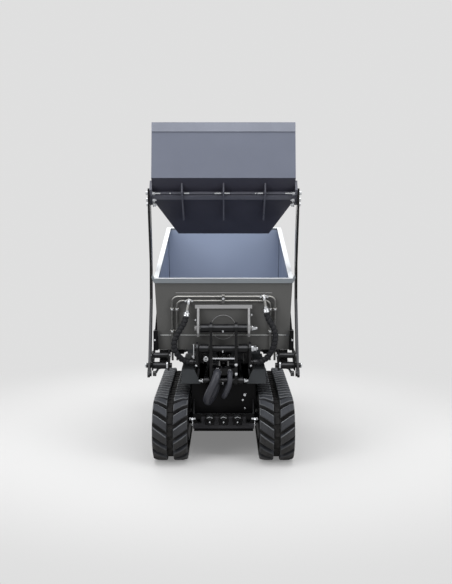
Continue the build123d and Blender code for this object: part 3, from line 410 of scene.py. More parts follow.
def bolt(shape, where, axis, across, stub=0.0, index=0):
    """A washer and a hexagon, seated at a place, with a threaded end if it is a nut."""
    washer_radius, washer_top, head_top = across * 0.68, across * 0.12, across * 0.68
    turned(shape, where, axis, [(0, -1), (washer_radius, -1), (washer_radius, washer_top * 0.8),
                                (across * 0.64, washer_top), (0, washer_top)], index=index)
    hexagon(shape, where, axis, across, washer_top, head_top, index)
    if stub:
        thread, end = across * 0.3, head_top + stub
        turned(shape, where, axis, [(0, across * 0.5), (thread, across * 0.5), (thread, end - 1.5),
                                    (across * 0.22, end), (0, end)], index=index)


def box(shape, low, high, bevel=1.0, index=0):
    """A block between two corners in (X, depth, z), with its edges rounded."""
    piece = bmesh.new()
    bmesh.ops.create_cube(piece, size=1)
    low, high = at(*low), at(*high)
    for v in piece.verts:
        v.co = [l if c < 0 else h for c, l, h in zip(v.co, low, high)]
    bmesh.ops.bevel(piece, geom=piece.edges[:], offset=bevel / 1000, segments=2, affect="EDGES", profile=0.5,
                    material=-1)
    for face in piece.faces:
        face.material_index = index
    join(shape, piece)


wears(["track_frame_left", "track_frame_right"], frame_black, 0.0012)
wears(["idlers", "sprockets", "track_rollers"], wheel_iron, 0.001)
rail_face, wheel_face = 392.5, 322.5  # outer faces of the rails and of the wheels' webs
axle_z = 1000 * loop_height
axle_depth = 1000 * (loop_height - track_reach)
flange = [(17, -1), (62, -1), (62, 5), (58, 8), (30, 10), (28, 14), (17, 14)]
flange_face, flange_bolt_circle = wheel_face + 8.5, 46
first_roller, roller_pitch, roller_z = 255, 164, 97
hubs, nuts = bmesh.new(), bmesh.new()
for side in (-1, 1):
    for depth in (axle_depth, axle_depth + 1000 * wheelbase):
        turned(hubs, at(side * wheel_face, depth, axle_z), (side, 0, 0), flange, 32)
        for step in range(6):
            around = math.radians(60 * step + 15)
            bolt(nuts, at(side * flange_face, depth + flange_bolt_circle * math.cos(around),
                          axle_z + flange_bolt_circle * math.sin(around)), (side, 0, 0), 12)
        bolt(nuts, at(side * rail_face, depth, axle_z), (side, 0, 0), 15)
    for n in range(4):
        bolt(nuts, at(side * rail_face, first_roller + roller_pitch * n, roller_z), (side, 0, 0), 13)
solid("wheel_flanges", hubs, [wheel_iron], "root", slot="wheel_steel")
solid("axle_nuts", nuts, [zinc], "root")

# ---------------------------------------------------------------- chassis
# Welded and painted steel plate. Three quick couplings sit in dark cups on the
# bottom bar, a shackle hangs at each of its ends, and grey covers close the sides.
cover_grey = finish("cover_grey", srgb(66, 69, 72), roughness=0.5, specular=0.2, dust=0.12)
bar_grey = finish("bar_grey", srgb(58, 58, 62), roughness=0.5, specular=0.2, dust=0.1)
rubber_black = finish("hose_rubber", srgb(18, 19, 23), roughness=0.55, specular=0.25, worn=0.4, dust=0.05)
wears(["chassis_frame", "front_bulkhead", "rear_bumper", "hose_couplings"], frame_black, 0.0012)
wears(["side_covers"], cover_grey, 0.0012)

forwards = (0, -1, 0)
bar_front = 96  # a worn skin lies on the bottom bar's front, clear of the lashing holes
coupling_face, coupling_z, coupling_pitch = 61, 222, 79
cups = bmesh.new()
for half, low, high in ((173, 168, 197), (126, 196, 236)):
    box(cups, (-half, bar_front - 0.8, low), (half, bar_front + 0.2, high), 0.4, 2)
for x in (-coupling_pitch, 0, coupling_pitch):
    box(cups, (x - 26, coupling_face - 0.2, 195), (x + 26, coupling_face + 1.4, 248), 0.6)
    place = at(x, coupling_face, coupling_z)
    turned(cups, place, forwards, [(15, -2), (29, -2), (29, 2), (27, 4), (22, 4), (20, -6), (15, -6)], 28)
    turned(cups, place, forwards, [(0, 0), (12, 0), (13, 2), (13, 5), (9, 8), (0, 8)])
    turned(cups, at(x, coupling_face - 3, coupling_z - 8), forwards, [(0, 0), (5, 0), (4, 5), (0, 6)], 12, 1)
    for step in range(5):
        around = math.radians(50 + 20 * step)
        stud = at(x + 21 * math.cos(around), coupling_face - 1, coupling_z + 21 * math.sin(around))
        turned(cups, stud, forwards, [(0, -2), (3.4, -2), (3.4, 4), (2.4, 5.5), (0, 6)], 8, 1)
    turned(cups, at(x, coupling_face + 5, coupling_z - 21), (0, -1, -0.5),
           [(0, -4), (9, -4), (9, 1), (8, 3), (0, 3)], 16, 1)
solid("coupling_ends", cups, [frame_black, zinc, bar_grey], "root")

shackle_x, shackle_depth, shackle_z = 178, 84, 212
shackle_reach, shackle_half = 16, 19  # forwards, and up or down
tackle = bmesh.new()
for side in (-1, 1):
    for step in range(19):
        around = math.radians(-45 + 15 * step)
        place = at(side * shackle_x, shackle_depth - shackle_reach * math.sin(around),
                   shackle_z - shackle_half * math.cos(around))
        turned(tackle, place, (0, math.cos(around), math.sin(around)), disc(5, -2.8, 2.8), 12)
    turned(tackle, at(side * 160, 92, 225), (side, 0, 0),
           [(0, 0), (6, 0), (6, 28), (9, 28), (9, 36), (0, 36)], 14)
for x, z, across in ((122, 346, 13), (111, 316, 9), (124, 268, 8)):
    bolt(tackle, at(x, 172, z), forwards, across)
solid("chassis_fastenings", tackle, [zinc], "root")

# ---------------------------------------------------------------- lift arm, level link and lift cylinder
# Plate arms turn on greased pins. Cylinders are black barrels with a chromed
# rod, a gland nut where the rod comes out and two hose ports.
arm_black = finish("arm_black", srgb(11, 11, 13), roughness=0.3, specular=0.22, dust=0.02)
# Painted highlight: a lighter band on faces that look partly up, dark again on the tops, as light lies along
# the tubes.
second_tone(arm_black, upward(arm_black), srgb(84, 85, 88), 0.15, 0.4)
second_tone(arm_black, upward(arm_black), srgb(26, 26, 29), 0.5, 0.75)
barrel_black = finish("barrel_black", srgb(20, 20, 23), roughness=0.2, specular=0.4, dust=0.05, coat=0.3)
rod_chrome = finish("rod_chrome", srgb(208, 210, 214), roughness=0.12, specular=0.5, metallic=1.0, worn=0.1,
                    dust=0.0, scratches=0.05, peel_height=0.0)
wears(["lift_arm", "level_link"], arm_black, 0.0012)
wears(["tip_barrel", "lift_barrel", "dip_barrels"], barrel_black, 0.001)
wears(["tip_rod", "lift_rod", "dip_rods"], rod_chrome)

# Base and eye are (depth, z) at rest. The gland is at a share of the way to the eye.
Cylinder = namedtuple("Cylinder", "barrel rod base eye gland radius eye_bore eye_radius eye_half places")
cylinders = (
    Cylinder("lift_barrel", "lift_rod", (420, 225), (760, 505), 0.82, 32, 11, 28, 32, (0,)),
    Cylinder("tip_barrel", "tip_rod", (100, 567), (430, 548), 0.74, 25, 8, 21, 20, (0,)),
    Cylinder("dip_barrels", "dip_rods", (640, 470), (-35, 510), 0.50, 18, 10, 14, 9, (-381, 381)),
)
base_port, gland_port = 0.16, 0.12  # shares of the length, from the base and back from the gland
for cylinder in cylinders:
    glands, radius = bmesh.new(), cylinder.radius
    for x in cylinder.places:
        start, end = at(x, *cylinder.base), at(x, *cylinder.eye)
        along, length = (end - start).normalized(), (end - start).length
        inwards = Vector((-1 if x > 0 else 1, 0, 0))
        turned(glands, start + along * (length * cylinder.gland - 0.016), along,
               [(radius, 0), (radius + 1, 1), (radius + 1, 14), (radius, 17), (radius * 0.7, 17.5)], 28)
        for share in (base_port, cylinder.gland - gland_port):
            port = start + along * length * share + inwards * (radius - 2) / 1000
            turned(glands, port, inwards, [(0, 0), (8, 0), (8, 7), (6, 9), (0, 9)], 14)
            hexagon(glands, port, inwards, 12, 8, 14, 1)
    solid(cylinder.barrel + "_glands", glands, [barrel_black, zinc], cylinder.barrel)
for cylinder in cylinders:
    eyes, bore, radius, half = bmesh.new(), cylinder.eye_bore, cylinder.eye_radius, cylinder.eye_half
    for x in cylinder.places:
        turned(eyes, at(x, *cylinder.eye), (1, 0, 0), [
            (bore, -half - 0.4), (radius, -half - 0.4), (radius + 0.6, 1 - half), (radius + 0.6, half - 1),
            (radius, half + 0.4), (bore, half + 0.4)], 28)
    solid(cylinder.rod + "_eyes", eyes, [barrel_black], cylinder.rod)

# ---------------------------------------------------------------- carriage
# Two plates and two cheeks on three cross tubes, each tube greased through a
# nipple. Zinc nuts hold the pins' ends and a bright stop rod crosses the front.
pin_depth = 44  # of the three pins that join skip, lift arm and level link
skip_pin_z, arm_pin_z, link_pin_z = 752, 637, 455
stop_depth, stop_z, stop_half = 60, 578, 60
clamp_depth, clamp_z = 32, 580  # a hose clamp on its bracket, left of the stop rod
nipple = [(0, -1), (5, -1), (5, 3), (3, 4), (3, 8), (4, 9), (4, 11), (2, 13), (0, 13)]
nipple_slope = math.radians(32)  # nipples look down as they look forwards
wears(["carriage", "hose_block"], arm_black, 0.0012)
out, down = math.cos(nipple_slope), math.sin(nipple_slope)
fittings = bmesh.new()
for z, tube_radius in ((skip_pin_z, 23), (arm_pin_z, 20), (link_pin_z, 18)):
    seat = at(-4, pin_depth - tube_radius * out, z - tube_radius * down)
    turned(fittings, seat, (0, -out, -down), nipple, 12)
for side in (-1, 1):
    bolt(fittings, at(side * 118, pin_depth, link_pin_z), (side, 0, 0), 20, 8)
    turned(fittings, at(side * stop_half, stop_depth, stop_z), (side, 0, 0), disc(12, 0, 3))
    bolt(fittings, at(side * 152, 18, 545), forwards, 9)
for z in (497, 549):
    bolt(fittings, at(70, 16, z), forwards, 12)
turned(fittings, at(-stop_half, stop_depth, stop_z), (1, 0, 0), disc(7.5, 0, 2 * stop_half), 20, 1)
bolt(fittings, at(164, pin_depth, arm_pin_z), (1, 0, 0), 30, 9)
turned(fittings, at(156, pin_depth, arm_pin_z), (1, 0, 0), [(14, 0), (20, 0), (20, 8), (14, 8)])
box(fittings, (-169, 26, 582), (-164, 62, 665), 1.5)
bolt(fittings, at(-169, 40, 593), (-1, 0, 0), 13)
turned(fittings, at(-99, clamp_depth, clamp_z), forwards,
       [(9, 0), (15, 0), (15, 5), (13, 7), (9, 7), (9, 0)])
box(fittings, (-112, clamp_depth - 6, clamp_z - 3), (-86, clamp_depth - 1, clamp_z + 3), 1)
box(fittings, (-107, clamp_depth, clamp_z - 8), (-77, clamp_depth + 20, clamp_z + 8), 1.5, 2)
solid("carriage_fittings", fittings, [zinc, rod_chrome, arm_black], "carriage")

# ---------------------------------------------------------------- skip
# Folded sheet, sprayed grey, with its inside painted a lighter blue grey: painted light from above and a
# painted reflection.
# A doubler stiffens the foot of the front wall, a round cover closes its middle, and two pipes cross it.
rim_z, floor_z = 1030, 622
rim_depth, foot_depth = 60, 110  # the front wall leans back towards its foot
skip_lean = (foot_depth - rim_depth) / (rim_z - floor_z)
doubler_top, foot_left, foot_right = 705, -357, 353
wall_thick = 5
rear_foot, rear_head = (351, 880, 628), (374, 1045, 1268)  # outer rear corner, as half width, depth and z
arm_pivot_depth, arm_pivot_z, bracket_bolt_z = 50, 541, 598


def facing(material, place):
    """A mask above 0 on faces that look towards a place, as inside an open box."""
    tree = material.node_tree
    coords = tree.nodes.new("ShaderNodeTexCoord").outputs
    to_place = combined(tree, "ShaderNodeVectorMath", "SUBTRACT", place, coords["Object"])
    towards = add_node(tree, "ShaderNodeVectorMath", operation="DOT_PRODUCT")
    feed(tree, to_place, towards.inputs[0])
    feed(tree, coords["Normal"], towards.inputs[1])
    return towards.outputs["Value"]


skip_paint = finish("skip_paint", srgb(91, 91, 90), roughness=0.42, specular=0.2, worn=0.15, dust=0.08,
                    dust_top=1.1)
# Painted light: faces that look into the skip are lighter and bluer.
second_tone(skip_paint, facing(skip_paint, at(0, 500, 900)), srgb(131, 142, 164), 0.0, 0.001)
bracket_paint = finish("bracket_paint", srgb(152, 152, 153), roughness=0.4, specular=0.3)
rim_paint = finish("rim_paint", srgb(122, 128, 133), roughness=0.35, specular=0.3)
# Painted highlight: the rim's faces that look up are near white.
second_tone(rim_paint, upward(rim_paint), srgb(238, 242, 246), 0.5, 0.8)
pipe_steel = finish("pipe_steel", srgb(84, 84, 83), roughness=0.28, specular=0.6, metallic=0.2, dust=0.0,
                    peel_height=0.0)
# Painted highlight: faces of the pipes that look up are near white.
second_tone(pipe_steel, upward(pipe_steel), srgb(232, 231, 226), 0.2, 0.8)
sealant = finish("sealant", srgb(24, 26, 40), roughness=0.6, dust=0.0)
# Near white: a painted highlight on the doubler's top bead, and a pale strip on a tank's side.
pale_strip_and_highlight = finish("pale_strip_and_highlight", srgb(222, 224, 224), roughness=0.4, dust=0.0)
wears(["skip_tub"], skip_paint, 0.0015)
wears(["skip_bracket"], bracket_paint, 0.0015)
wears(["skip_rim"], rim_paint, 0.002)
wears(["skip_underframe", "arm_guides"], frame_black, 0.0012)
wears(["hydraulic_pipes"], pipe_steel, 0.0006)


def on_wall(z, out=0.0):
    """Depth of the front wall's face at a height, and further out from it."""
    return rim_depth + skip_lean * (rim_z - z) - out


off_wall = (0, -1, -skip_lean)
panels = bmesh.new()
box(panels, (foot_left, rim_depth - 2.5, floor_z + 4), (foot_right, rim_depth + 0.5, doubler_top), 1)
# A near-white bead along the doubler's top: a painted highlight on the fold.
box(panels, (foot_left, rim_depth - 4, doubler_top - 2.5), (foot_right, rim_depth - 1.5, doubler_top + 2.5),
    0.8, 2)
box(panels, (-268, rim_depth - 1.4, 947), (272, rim_depth + 0.5, 950), 0.5, 1)
for v in panels.verts:
    v.co.y += skip_lean * (rim_z / 1000 - v.co.z)
cover = at(-2, on_wall(skip_pin_z), skip_pin_z)
turned(panels, cover, off_wall, [(0, 2), (66, 2), (69, 3), (71, 2), (71, -1), (0, -1)], 64)
# The cover's raised lip is in the paler bracket paint: a painted highlight round its edge.
turned(panels, cover, off_wall, [(67.8, 2), (68.6, 5), (70.4, 5), (71.2, 2), (67.8, 2)], 64, 1)
for side in (-1, 1):
    foot, head = (at(side * (half - wall_thick), depth - wall_thick, z)
                  for half, depth, z in (rear_foot, rear_head))
    turned(panels, foot, head - foot, disc(2.2, 0, (head - foot).length * 1000), 8, 3)
solid("skip_panels", panels, [skip_paint, bracket_paint, pale_strip_and_highlight, sealant], "skip")

ends = bmesh.new()
bolt(ends, at(162, pin_depth, skip_pin_z), (1, 0, 0), 26, 10)
for side, z in ((-1, 800), (1, 829)):
    bolt(ends, at(side * 154, 30, z), (side, 0, 0), 11)
pipe_out = 21  # the pipe clamps' bolts stand this far off the wall
bolt(ends, at(-2, on_wall(916, pipe_out), 916), off_wall, 10)
for half in (262, 289):
    for side in (-1, 1):
        for z in (729, 856):
            bolt(ends, at(side * half, on_wall(z, pipe_out), z), off_wall, 8)
for x, z, hose_end in ((-194, 904, (-205, 38, 838)), (226, 928, (236, 38, 860))):
    tee = at(x, on_wall(z, 12), z)
    drop = at(*hose_end) - tee
    drop_length = drop.length * 1000
    for side in (-1, 1):
        hexagon(ends, tee + Vector((side * 0.013, 0, 0)), (side, 0, 0), 20, 0, 11)
    turned(ends, tee, drop, [(0, -9), (9, -9), (10, 0), (9, 12), (6.5, 16), (6.5, drop_length - 6),
                             (0, drop_length)])
    hexagon(ends, tee, drop, 20, 14, 24)
    hexagon(ends, at(*hose_end), drop, 24, -14, 0)
for side in (-1, 1):
    turned(ends, at(side * 434, arm_pivot_depth, arm_pivot_z), (side, 0, 0),
           [(0, -2), (13, -2), (13, 4), (10, 7), (0, 7)])
    turned(ends, at(side * 312, arm_pivot_depth, arm_pivot_z), (side, 0, 0), washer(20, 25, 8), 24)
    bolt(ends, at(side * 304, arm_pivot_depth, bracket_bolt_z), (-side, 0, 0), 14)
    bolt(ends, at(side * 402, arm_pivot_depth, bracket_bolt_z), (side, 0, 0), 12)
    bolt(ends, at(side * 386, rim_depth, 682), forwards, 8)
    box(ends, (side * 338 - 26, 120, 548), (side * 338 + 26, 124, 618), 1, 1)
solid("skip_fastenings", ends, [zinc, arm_black], "skip")
wears(["arm_brackets", "shovel_arm_left", "shovel_arm_right"], arm_black, 0.0015)

# ---------------------------------------------------------------- shovel
# Folded sheet with a wear-steel edge, stiffened behind by a square tube and
# three ribs, and bolted through its end plates to the two arms.
shovel_paint = finish("shovel_paint", srgb(108, 113, 127), roughness=0.4, specular=0.25, worn=0.15, dust=0.0)
# Painted shade: faces that look down are darker.
second_tone(shovel_paint, upward(shovel_paint), srgb(62, 62, 74), -0.2, -0.5)
edge_steel = finish("edge_steel", srgb(134, 138, 150), roughness=0.34, metallic=0.2, dust=0.0, scratches=0.6)
frame_grey = finish("frame_grey", srgb(92, 93, 103), roughness=0.32, specular=0.4, dust=0.0)
wears(["shovel_shell"], shovel_paint, 0.0015)
wears(["cutting_edge"], edge_steel, 0.0012)
wears(["shovel_frame"], frame_grey, 0.0015)
bolts_and_glints = bmesh.new()
# Zinc sleeves on the rod that runs through the ribs, from X to X, where it shows bright: painted glints.
for start, end in ((-389, -350), (-300, -293), (-218, -190), (-50, -14), (5, 34), (174, 182), (188, 218),
                   (342, 389)):
    turned(bolts_and_glints, at(start, 76.8, 1503.1), (1, 0, 0), disc(5.6, 0, end - start), 16)
for side in (-1, 1):
    for depth, z in ((77, 1503), (112, 1466), (134, 1440)):
        bolt(bolts_and_glints, at(side * 395, depth, z), (-side, 0, 0), 21, 7)
        bolt(bolts_and_glints, at(side * 420, depth, z), (side, 0, 0), 18)
solid("shovel_bolts_and_glints", bolts_and_glints, [zinc], "shovel")

# ---------------------------------------------------------------- engine, hood and tanks
# A sheet hood hinged at the rear covers the engine. A moulded tank hangs on each
# side, and the silencer stands behind a wire guard.
engine_iron = finish("engine_iron", srgb(92, 94, 96), roughness=0.5, metallic=0.5)
black_plastic = finish("black_plastic", srgb(26, 27, 29), roughness=0.55, specular=0.3, dust=0.05,
                       peel_height=0.15)
hood_paint = finish("hood_paint", srgb(84, 86, 88), roughness=0.36, specular=0.3, worn=0.15, dust=0.05,
                    coat=0.2)
wears(["hood"], hood_paint, 0.0015)
wears(["engine_housing"], cover_grey, 0.0012)
wears(["engine_block"], engine_iron, 0.003)
wears(["fuel_tank", "hydraulic_tank", "console"], black_plastic, 0.003)
wears(["muffler"], wheel_iron, 0.001)

engine_z = 616  # top of the engine block
engine = bmesh.new()
for n in range(7):
    fin = 1215 + 26 * n
    box(engine, (-30, fin, engine_z), (120, fin + 8, engine_z + 21), 1)
turned(engine, at(-85, 1320, engine_z), (0, 0, 1),
       [(0, 0), (58, 0), (58, 15), (52, 21), (8, 21), (6, 23), (0, 23)], 36, 1)
turned(engine, at(0, 1190, 500), forwards, disc(10, 0, 9), 16)
solid("engine_top", engine, [engine_iron, black_plastic], "root")

hood_front = 1168
trim = bmesh.new()
for side in (-1, 1):
    for n in range(6):
        slat = 716 + 24 * n
        box(trim, (side * 251 - 2.5, 1240, slat), (side * 251 + 2.5, 1420, slat + 8), 2)
for x in (-180, 180):
    box(trim, (x - 12, hood_front, 655), (x + 12, hood_front + 5, 700), 1.5, 1)
    turned(trim, at(x, hood_front, 690), forwards, [(0, 0), (7, 0), (7, 6), (5, 8), (0, 8)], 16, 1)
solid("hood_trim", trim, [black_plastic, zinc], "hood")

tank_x, tank_out, tank_low = 318, 385, 424
strap_half, strap_width, strap_top = 68.5, 22, 624
tanks = bmesh.new()
for side in (-1, 1):
    turned(tanks, at(side * (tank_x - 0.5), 1260, 664), (0, 0, 1),
           [(26, 0), (30, 0), (30, 12), (28, 15), (12, 16), (0, 16)], 10)
    for near in (1232, 1400):
        far = near + strap_width
        middle = side * tank_x
        box(tanks, (middle - strap_half, near, tank_low), (middle + strap_half, far, tank_low + 4), 1, 1)
        outer = side * tank_out
        box(tanks, (outer - 2, near, tank_low + 2), (outer + 2, far, strap_top), 1, 1)
    bolt(tanks, at(side * (tank_out + 1), 1330, 450), (side, 0, 0), 14, index=1)
box(tanks, (tank_out - 2, 1324, 480), (tank_out + 1.5, 1346, 600), 2)
box(tanks, (tank_out - 1, 1331, 490), (tank_out + 2.5, 1339, 590), 2, 2)
solid("tank_fittings", tanks, [black_plastic, frame_black, pale_strip_and_highlight], "root", slot="black_plastic")

silencer_x, silencer_z, guard_radius = 296, 760, 41
guard = bmesh.new()
for n in range(6):
    turned(guard, at(silencer_x, 1300 + 32 * n, silencer_z), (0, 1, 0), washer(38, guard_radius, 5), 32)
for step in range(12):
    around = math.radians(30 * step)
    turned(guard, at(silencer_x + guard_radius * math.cos(around), 1298,
                     silencer_z + guard_radius * math.sin(around)), (0, 1, 0), disc(2, 0, 170), 8)
turned(guard, at(silencer_x, 1425, 868), (0, 0, 1), [(16.5, 0), (18, 0), (18, 20), (13, 20), (13, 2)], 24)
solid("silencer_guard", guard, [wheel_iron], "root", slot="wheel_steel")

# ---------------------------------------------------------------- controls and platform
# Levers come up through rubber boots in a moulded console, and the driver stands
# on a folding tread plate, holding a bar with rubber grips.
knob_plastic = finish("knob_plastic", srgb(14, 14, 15), roughness=0.18, specular=0.5, dust=0.0, scratches=0.0)
wears(["control_levers"], knob_plastic)
wears(["handlebar", "platform"], frame_black, 0.0012)

panel_depth, panel_z = 1542, 1011  # on the console's sloped top
panel_lean = math.atan2(26, 56)
off_panel = (0, math.sin(panel_lean), math.cos(panel_lean))
lever_count, lever_pitch = 6, 50
grip_ribs = [(16.5 + n % 2, 9 * n - 42) for n in range(10)]
boot = [(17, -2), (18, 2), (17, 5), (14, 6), (15, 9), (11, 11), (12, 14), (8, 17), (5, 24)]
controls = bmesh.new()
for n in range(lever_count):
    place = at(lever_pitch * (n - (lever_count - 1) / 2), panel_depth, panel_z)
    turned(controls, place, off_panel, boot, 20)
    turned(controls, place, off_panel, [(5, 20), (5.5, 20), (5.5, 72), (5, 72)], 16, 1)
for x in (-165, 165):
    turned(controls, at(x, panel_depth, panel_z), off_panel,
           [(0, 0), (13, 0), (13, 3), (10, 4), (9, 8), (7, 9), (0, 9)], 20, 1)
    for side in (-1, 1):
        turned(controls, at(x + side * 45, 1660, 940), (side, 0, 0),
               [(13, -46), (16, -46)] + grip_ribs + [(16, 43), (13, 43)], 24)
for x in (-160, 160):
    for z in (660, 880):
        bolt(controls, at(x, 1569, z), (0, 1, 0), 9, index=1)
solid("console_fittings", controls, [rubber_black, zinc], "root", slot="hose_rubber")

platform_top = 193.4
tread_bar = Matrix.Diagonal((0.024, 0.005, 0.0016, 1))
tread = bmesh.new()
for row in range(8):
    for column in range(15):
        bar = bmesh.new()
        bmesh.ops.create_cube(bar, size=1)
        turn = Matrix.Rotation(math.radians(45 if (row + column) % 2 else -45), 4, "Z")
        place = at(31 * (column - 7), 1550 + 27 * row, platform_top)
        bmesh.ops.transform(bar, matrix=Matrix.Translation(place) @ turn @ tread_bar, verts=bar.verts)
        join(tread, bar)
solid("platform_tread", tread, [frame_black], "platform")
rear = bmesh.new()
for side in (-1, 1):
    for z in (230, 370):
        bolt(rear, at(side * 200, 1490, z), (0, 1, 0), 16)
    bolt(rear, at(side * 224, 1508, 190), (side, 0, 0), 12)
solid("rear_bolts", rear, [zinc], "root")

# ---------------------------------------------------------------- hoses
# Two hoses in a black spiral guard run from the skip's pipes down to the
# carriage, and two more loop under the front from a block on the carriage.
guard_pitch, guard_sunk, guard_height = 0.022, 0.0022, 0.0032
ridge_share, ridge_flank = 0.8, 6  # of a pitch that the ridge covers, and how steeply it rises
fine_step, plain_step = 0.0022, 0.005  # between rings, on a guard and on a smooth hose


def centre_line(points):
    """A smooth line along control points in (X, depth, z), as places a few millimetres apart."""
    curve = bpy.data.curves.new("route", "CURVE")
    curve.dimensions = "3D"
    curve.resolution_u = 24
    line = curve.splines.new("NURBS")
    line.points.add(len(points) - 1)
    for point, place in zip(line.points, points):
        point.co = (*at(*place), 1)
    line.order_u = 3
    line.use_endpoint_u = True
    route = bpy.data.objects.new("route", curve)
    scene.collection.objects.link(route)
    bpy.context.view_layer.update()
    mesh = bpy.data.meshes.new_from_object(route)
    places = [v.co.copy() for v in mesh.vertices]
    bpy.data.meshes.remove(mesh)
    bpy.data.objects.remove(route)
    return places


def resampled(line, step):
    """Places at equal steps along a line, and its length."""
    total = sum((b - a).length for a, b in zip(line, line[1:]))
    count = max(2, round(total / step))
    places, spot, walked = [line[0].copy()], 0, 0.0
    for n in range(1, count):
        target = total * n / count
        while walked + (line[spot + 1] - line[spot]).length < target:
            walked += (line[spot + 1] - line[spot]).length
            spot += 1
        share = (target - walked) / (line[spot + 1] - line[spot]).length
        places.append(line[spot].lerp(line[spot + 1], share))
    return places + [line[-1].copy()], total


def hose_skin(line, radius, ridge=0.0, segments=20):
    """A tube round a line; a ridge winds along it as the turns of a spiral guard."""
    places, total = resampled(line, fine_step if ridge else plain_step)
    step = total / (len(places) - 1)
    skin, rings = bmesh.new(), []
    across = (places[1] - places[0]).normalized().orthogonal().normalized()
    for n, place in enumerate(places):
        along = (places[min(n + 1, len(places) - 1)] - places[max(n - 1, 0)]).normalized()
        across = (across - along * across.dot(along)).normalized()
        upright = along.cross(across)
        ring = []
        for s in range(segments):
            around = 2 * math.pi * s / segments
            turn = (n * step / guard_pitch - s / segments) % 1
            height = ridge * max(0.0, min(1.0, ridge_flank * turn, ridge_flank * (ridge_share - turn)))
            out = across * math.cos(around) + upright * math.sin(around)
            ring.append(skin.verts.new(place + out * (radius + height)))
        rings.append(ring)
    for a, b in zip(rings, rings[1:]):
        for s in range(segments):
            skin.faces.new((a[s], a[(s + 1) % segments], b[(s + 1) % segments], b[s]))
    skin.faces.new(rings[0][::-1])
    skin.faces.new(rings[-1])
    return skin, places, total


hose_routes = {
    "wrapped_hose_left": (16, [
        (-205.1, 37.7, 837.3), (-213, 19.4, 790), (-252, 0, 736), (-280, -4, 672),
        (-262, 8, 610), (-216, 44, 560), (-168.2, 44, 560)]),
    "wrapped_hose_right": (16, [
        (236.1, 37.7, 859.3), (243, 22.1, 812), (280, 6, 762), (292, 0, 698),
        (268, 8, 622), (220, 44, 560), (168.2, 44, 560)]),
    "tip_hose_left": (22, [
        (-34, 29.8, 507), (-34, -12, 507), (-50, -26, 458), (-78, -16, 400), (-96, 8, 352),
        (-86, 52, 330), (-58, 88, 362), (-36, 92, 424), (-36, 92, 487.8)]),
    "tip_hose_right": (14, [
        (36, 29.8, 507), (36, -12, 507), (36, -24, 450), (16, -12, 398), (0, 26, 362),
        (6, 72, 376), (26, 92, 428), (26, 92, 487.8)]),
}
hose_smooth = finish("hose_smooth", srgb(52, 53, 60), roughness=0.42, specular=0.4, worn=0.3, dust=0.05)
skip_crimps, carriage_crimps = bmesh.new(), bmesh.new()
for name, (radius, points) in hose_routes.items():
    if name.startswith("wrapped"):
        skin, path, length = hose_skin(centre_line(points), radius / 1000 - guard_sunk, guard_height)
        hose = solid(name + "_skin", skin, [rubber_black], "carriage", [name], "hose_rubber", 60)
        hose.parent = None
        tuple(path[0])
        tuple(path[-1])
        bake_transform(hose)
        first_end = skip_crimps
    else:
        skin, path, length = hose_skin(centre_line(points), radius / 1000)
        hose = solid(name + "_skin", skin, [hose_smooth], "carriage", [name], "hose_rubber", 60)
        first_end = carriage_crimps
    tuple(path[0])
    [tuple(p) for p in path]
    crimp = [(0, -1), (radius + 1, -1), (radius + 2.5, 1), (radius + 2.5, 5), (radius + 1.2, 7),
             (radius + 2.2, 10), (radius + 2.2, 18), (radius + 0.3, 22), (radius - 2, 22)]
    turned(first_end, path[0], path[6] - path[0], crimp, 24)
    turned(carriage_crimps, path[-1], path[-7] - path[-1], crimp, 24, 1)
solid("skip_crimps", skip_crimps, [zinc], "skip")
solid("carriage_crimps", carriage_crimps, [zinc, arm_black], "carriage")

# ---------------------------------------------------------------- camera
# A long look at the front from about a standing person's eye height, five metres
# ahead of the front plane.
camera = bpy.data.objects.new("camera", bpy.data.cameras.new("camera"))
scene.collection.objects.link(camera)
camera.location = (0.0137, plane_y - 5.0, 1.45)
look_down = 5.6
camera.rotation_euler = (math.radians(90 - look_down), 0, 0)
camera.data.sensor_fit = "VERTICAL"
camera.data.sensor_height = 36
camera.data.lens = 56.1
camera.data.clip_end = 60
scene.camera = camera

# ---------------------------------------------------------------- floor and light
# A plain pale floor that goes over into a pale grey background away from the
# machine, under soft light from above, both sides and behind.
backdrop = 0.74  # what the camera sees behind the machine
sky_light = 0.45  # what lights it
floor_bounce, floor_seen = (0.3, 0.3, 0.3, 1), (0.75, 0.75, 0.75, 1)
floor_fade_start, floor_fade_end, least_fade = 1.2, 2.6, 0.25


def seen_directly(tree):
    """1 for rays of the camera, and for those in metal or glass; 0 for the light that falls on things."""
    path = tree.nodes.new("ShaderNodeLightPath").outputs
    seen = path["Is Camera Ray"]
    for name in ("Is Glossy Ray", "Is Transmission Ray"):
        seen = combined(tree, "ShaderNodeMath", "MAXIMUM", seen, path[name])
    return seen


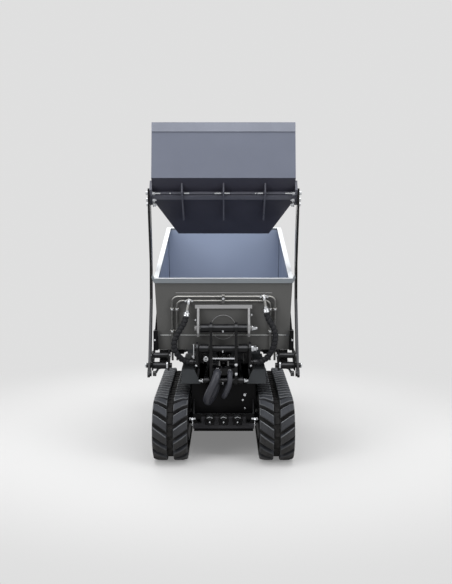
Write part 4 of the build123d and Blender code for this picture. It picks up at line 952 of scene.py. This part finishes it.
floor_pale = bpy.data.materials.new("floor_pale")
floor_pale.use_nodes = True
tree = floor_pale.node_tree
shader = tree.nodes["Principled BSDF"]
shader.inputs["Roughness"].default_value = 0.9
shader.inputs["Specular IOR Level"].default_value = 0.0
seen = seen_directly(tree)
feed(tree, mixed(tree, seen, floor_bounce, floor_seen), shader.inputs["Base Color"])
here = tree.nodes.new("ShaderNodeTexCoord").outputs["Object"]
reach = add_node(tree, "ShaderNodeVectorMath", operation="LENGTH")
feed(tree, here, reach.inputs[0])
fade = add_node(tree, "ShaderNodeMapRange", interpolation_type="SMOOTHSTEP", Value=reach.outputs["Value"],
                From_Min=floor_fade_start, From_Max=floor_fade_end, To_Min=least_fade)
glow = add_node(tree, "ShaderNodeEmission", Color=(1, 1, 1, 1), Strength=backdrop)
blended = tree.nodes.new("ShaderNodeMixShader")
for source, socket in zip((product(tree, fade.outputs["Result"], seen), shader.outputs["BSDF"],
                           glow.outputs["Emission"]), blended.inputs):
    feed(tree, source, socket)
feed(tree, blended.outputs["Shader"], tree.nodes["Material Output"].inputs["Surface"])

floor_shape = bmesh.new()
bmesh.ops.create_grid(floor_shape, x_segments=1, y_segments=1, size=14)
floor_mesh = bpy.data.meshes.new("floor")
floor_shape.to_mesh(floor_mesh)
floor_shape.free()
floor = bpy.data.objects.new("floor", floor_mesh)
scene.collection.objects.link(floor)
floor_mesh.materials.append(floor_pale)


def soft_lamp(name, place, aim, size, power):
    """A rectangular lamp of a size in metres, turned towards a place."""
    lamp = bpy.data.lights.new(name, "AREA")
    lamp.energy = power
    lamp.shape = "RECTANGLE"
    lamp.size, lamp.size_y = size
    lamp_object = bpy.data.objects.new(name, lamp)
    scene.collection.objects.link(lamp_object)
    lamp_object.location = place
    lamp_object.rotation_euler = (Vector(aim) - Vector(place)).to_track_quat("-Z", "Y").to_euler()


soft_lamp("overhead", (0, -0.6, 4.2), (0, 0, 0.8), (4.5, 4.5), 150)
soft_lamp("left_front", (-3.6, -4.2, 2.6), (0, 0, 0.9), (2.6, 2.6), 90)
soft_lamp("right_front", (3.8, -3.6, 2.2), (0, 0, 0.9), (2.6, 2.6), 70)
soft_lamp("rear", (-1.2, 4.6, 2.4), (0, 0, 0.9), (3.0, 2.0), 80)

world = bpy.data.worlds.new("studio")
scene.world = world
world.use_nodes = True
tree = world.node_tree
background = tree.nodes["Background"].inputs
background["Color"].default_value = (1, 1, 1, 1)
strength = add_node(tree, "ShaderNodeMapRange", Value=seen_directly(tree), To_Min=sky_light, To_Max=backdrop)
feed(tree, strength.outputs["Result"], background["Strength"])
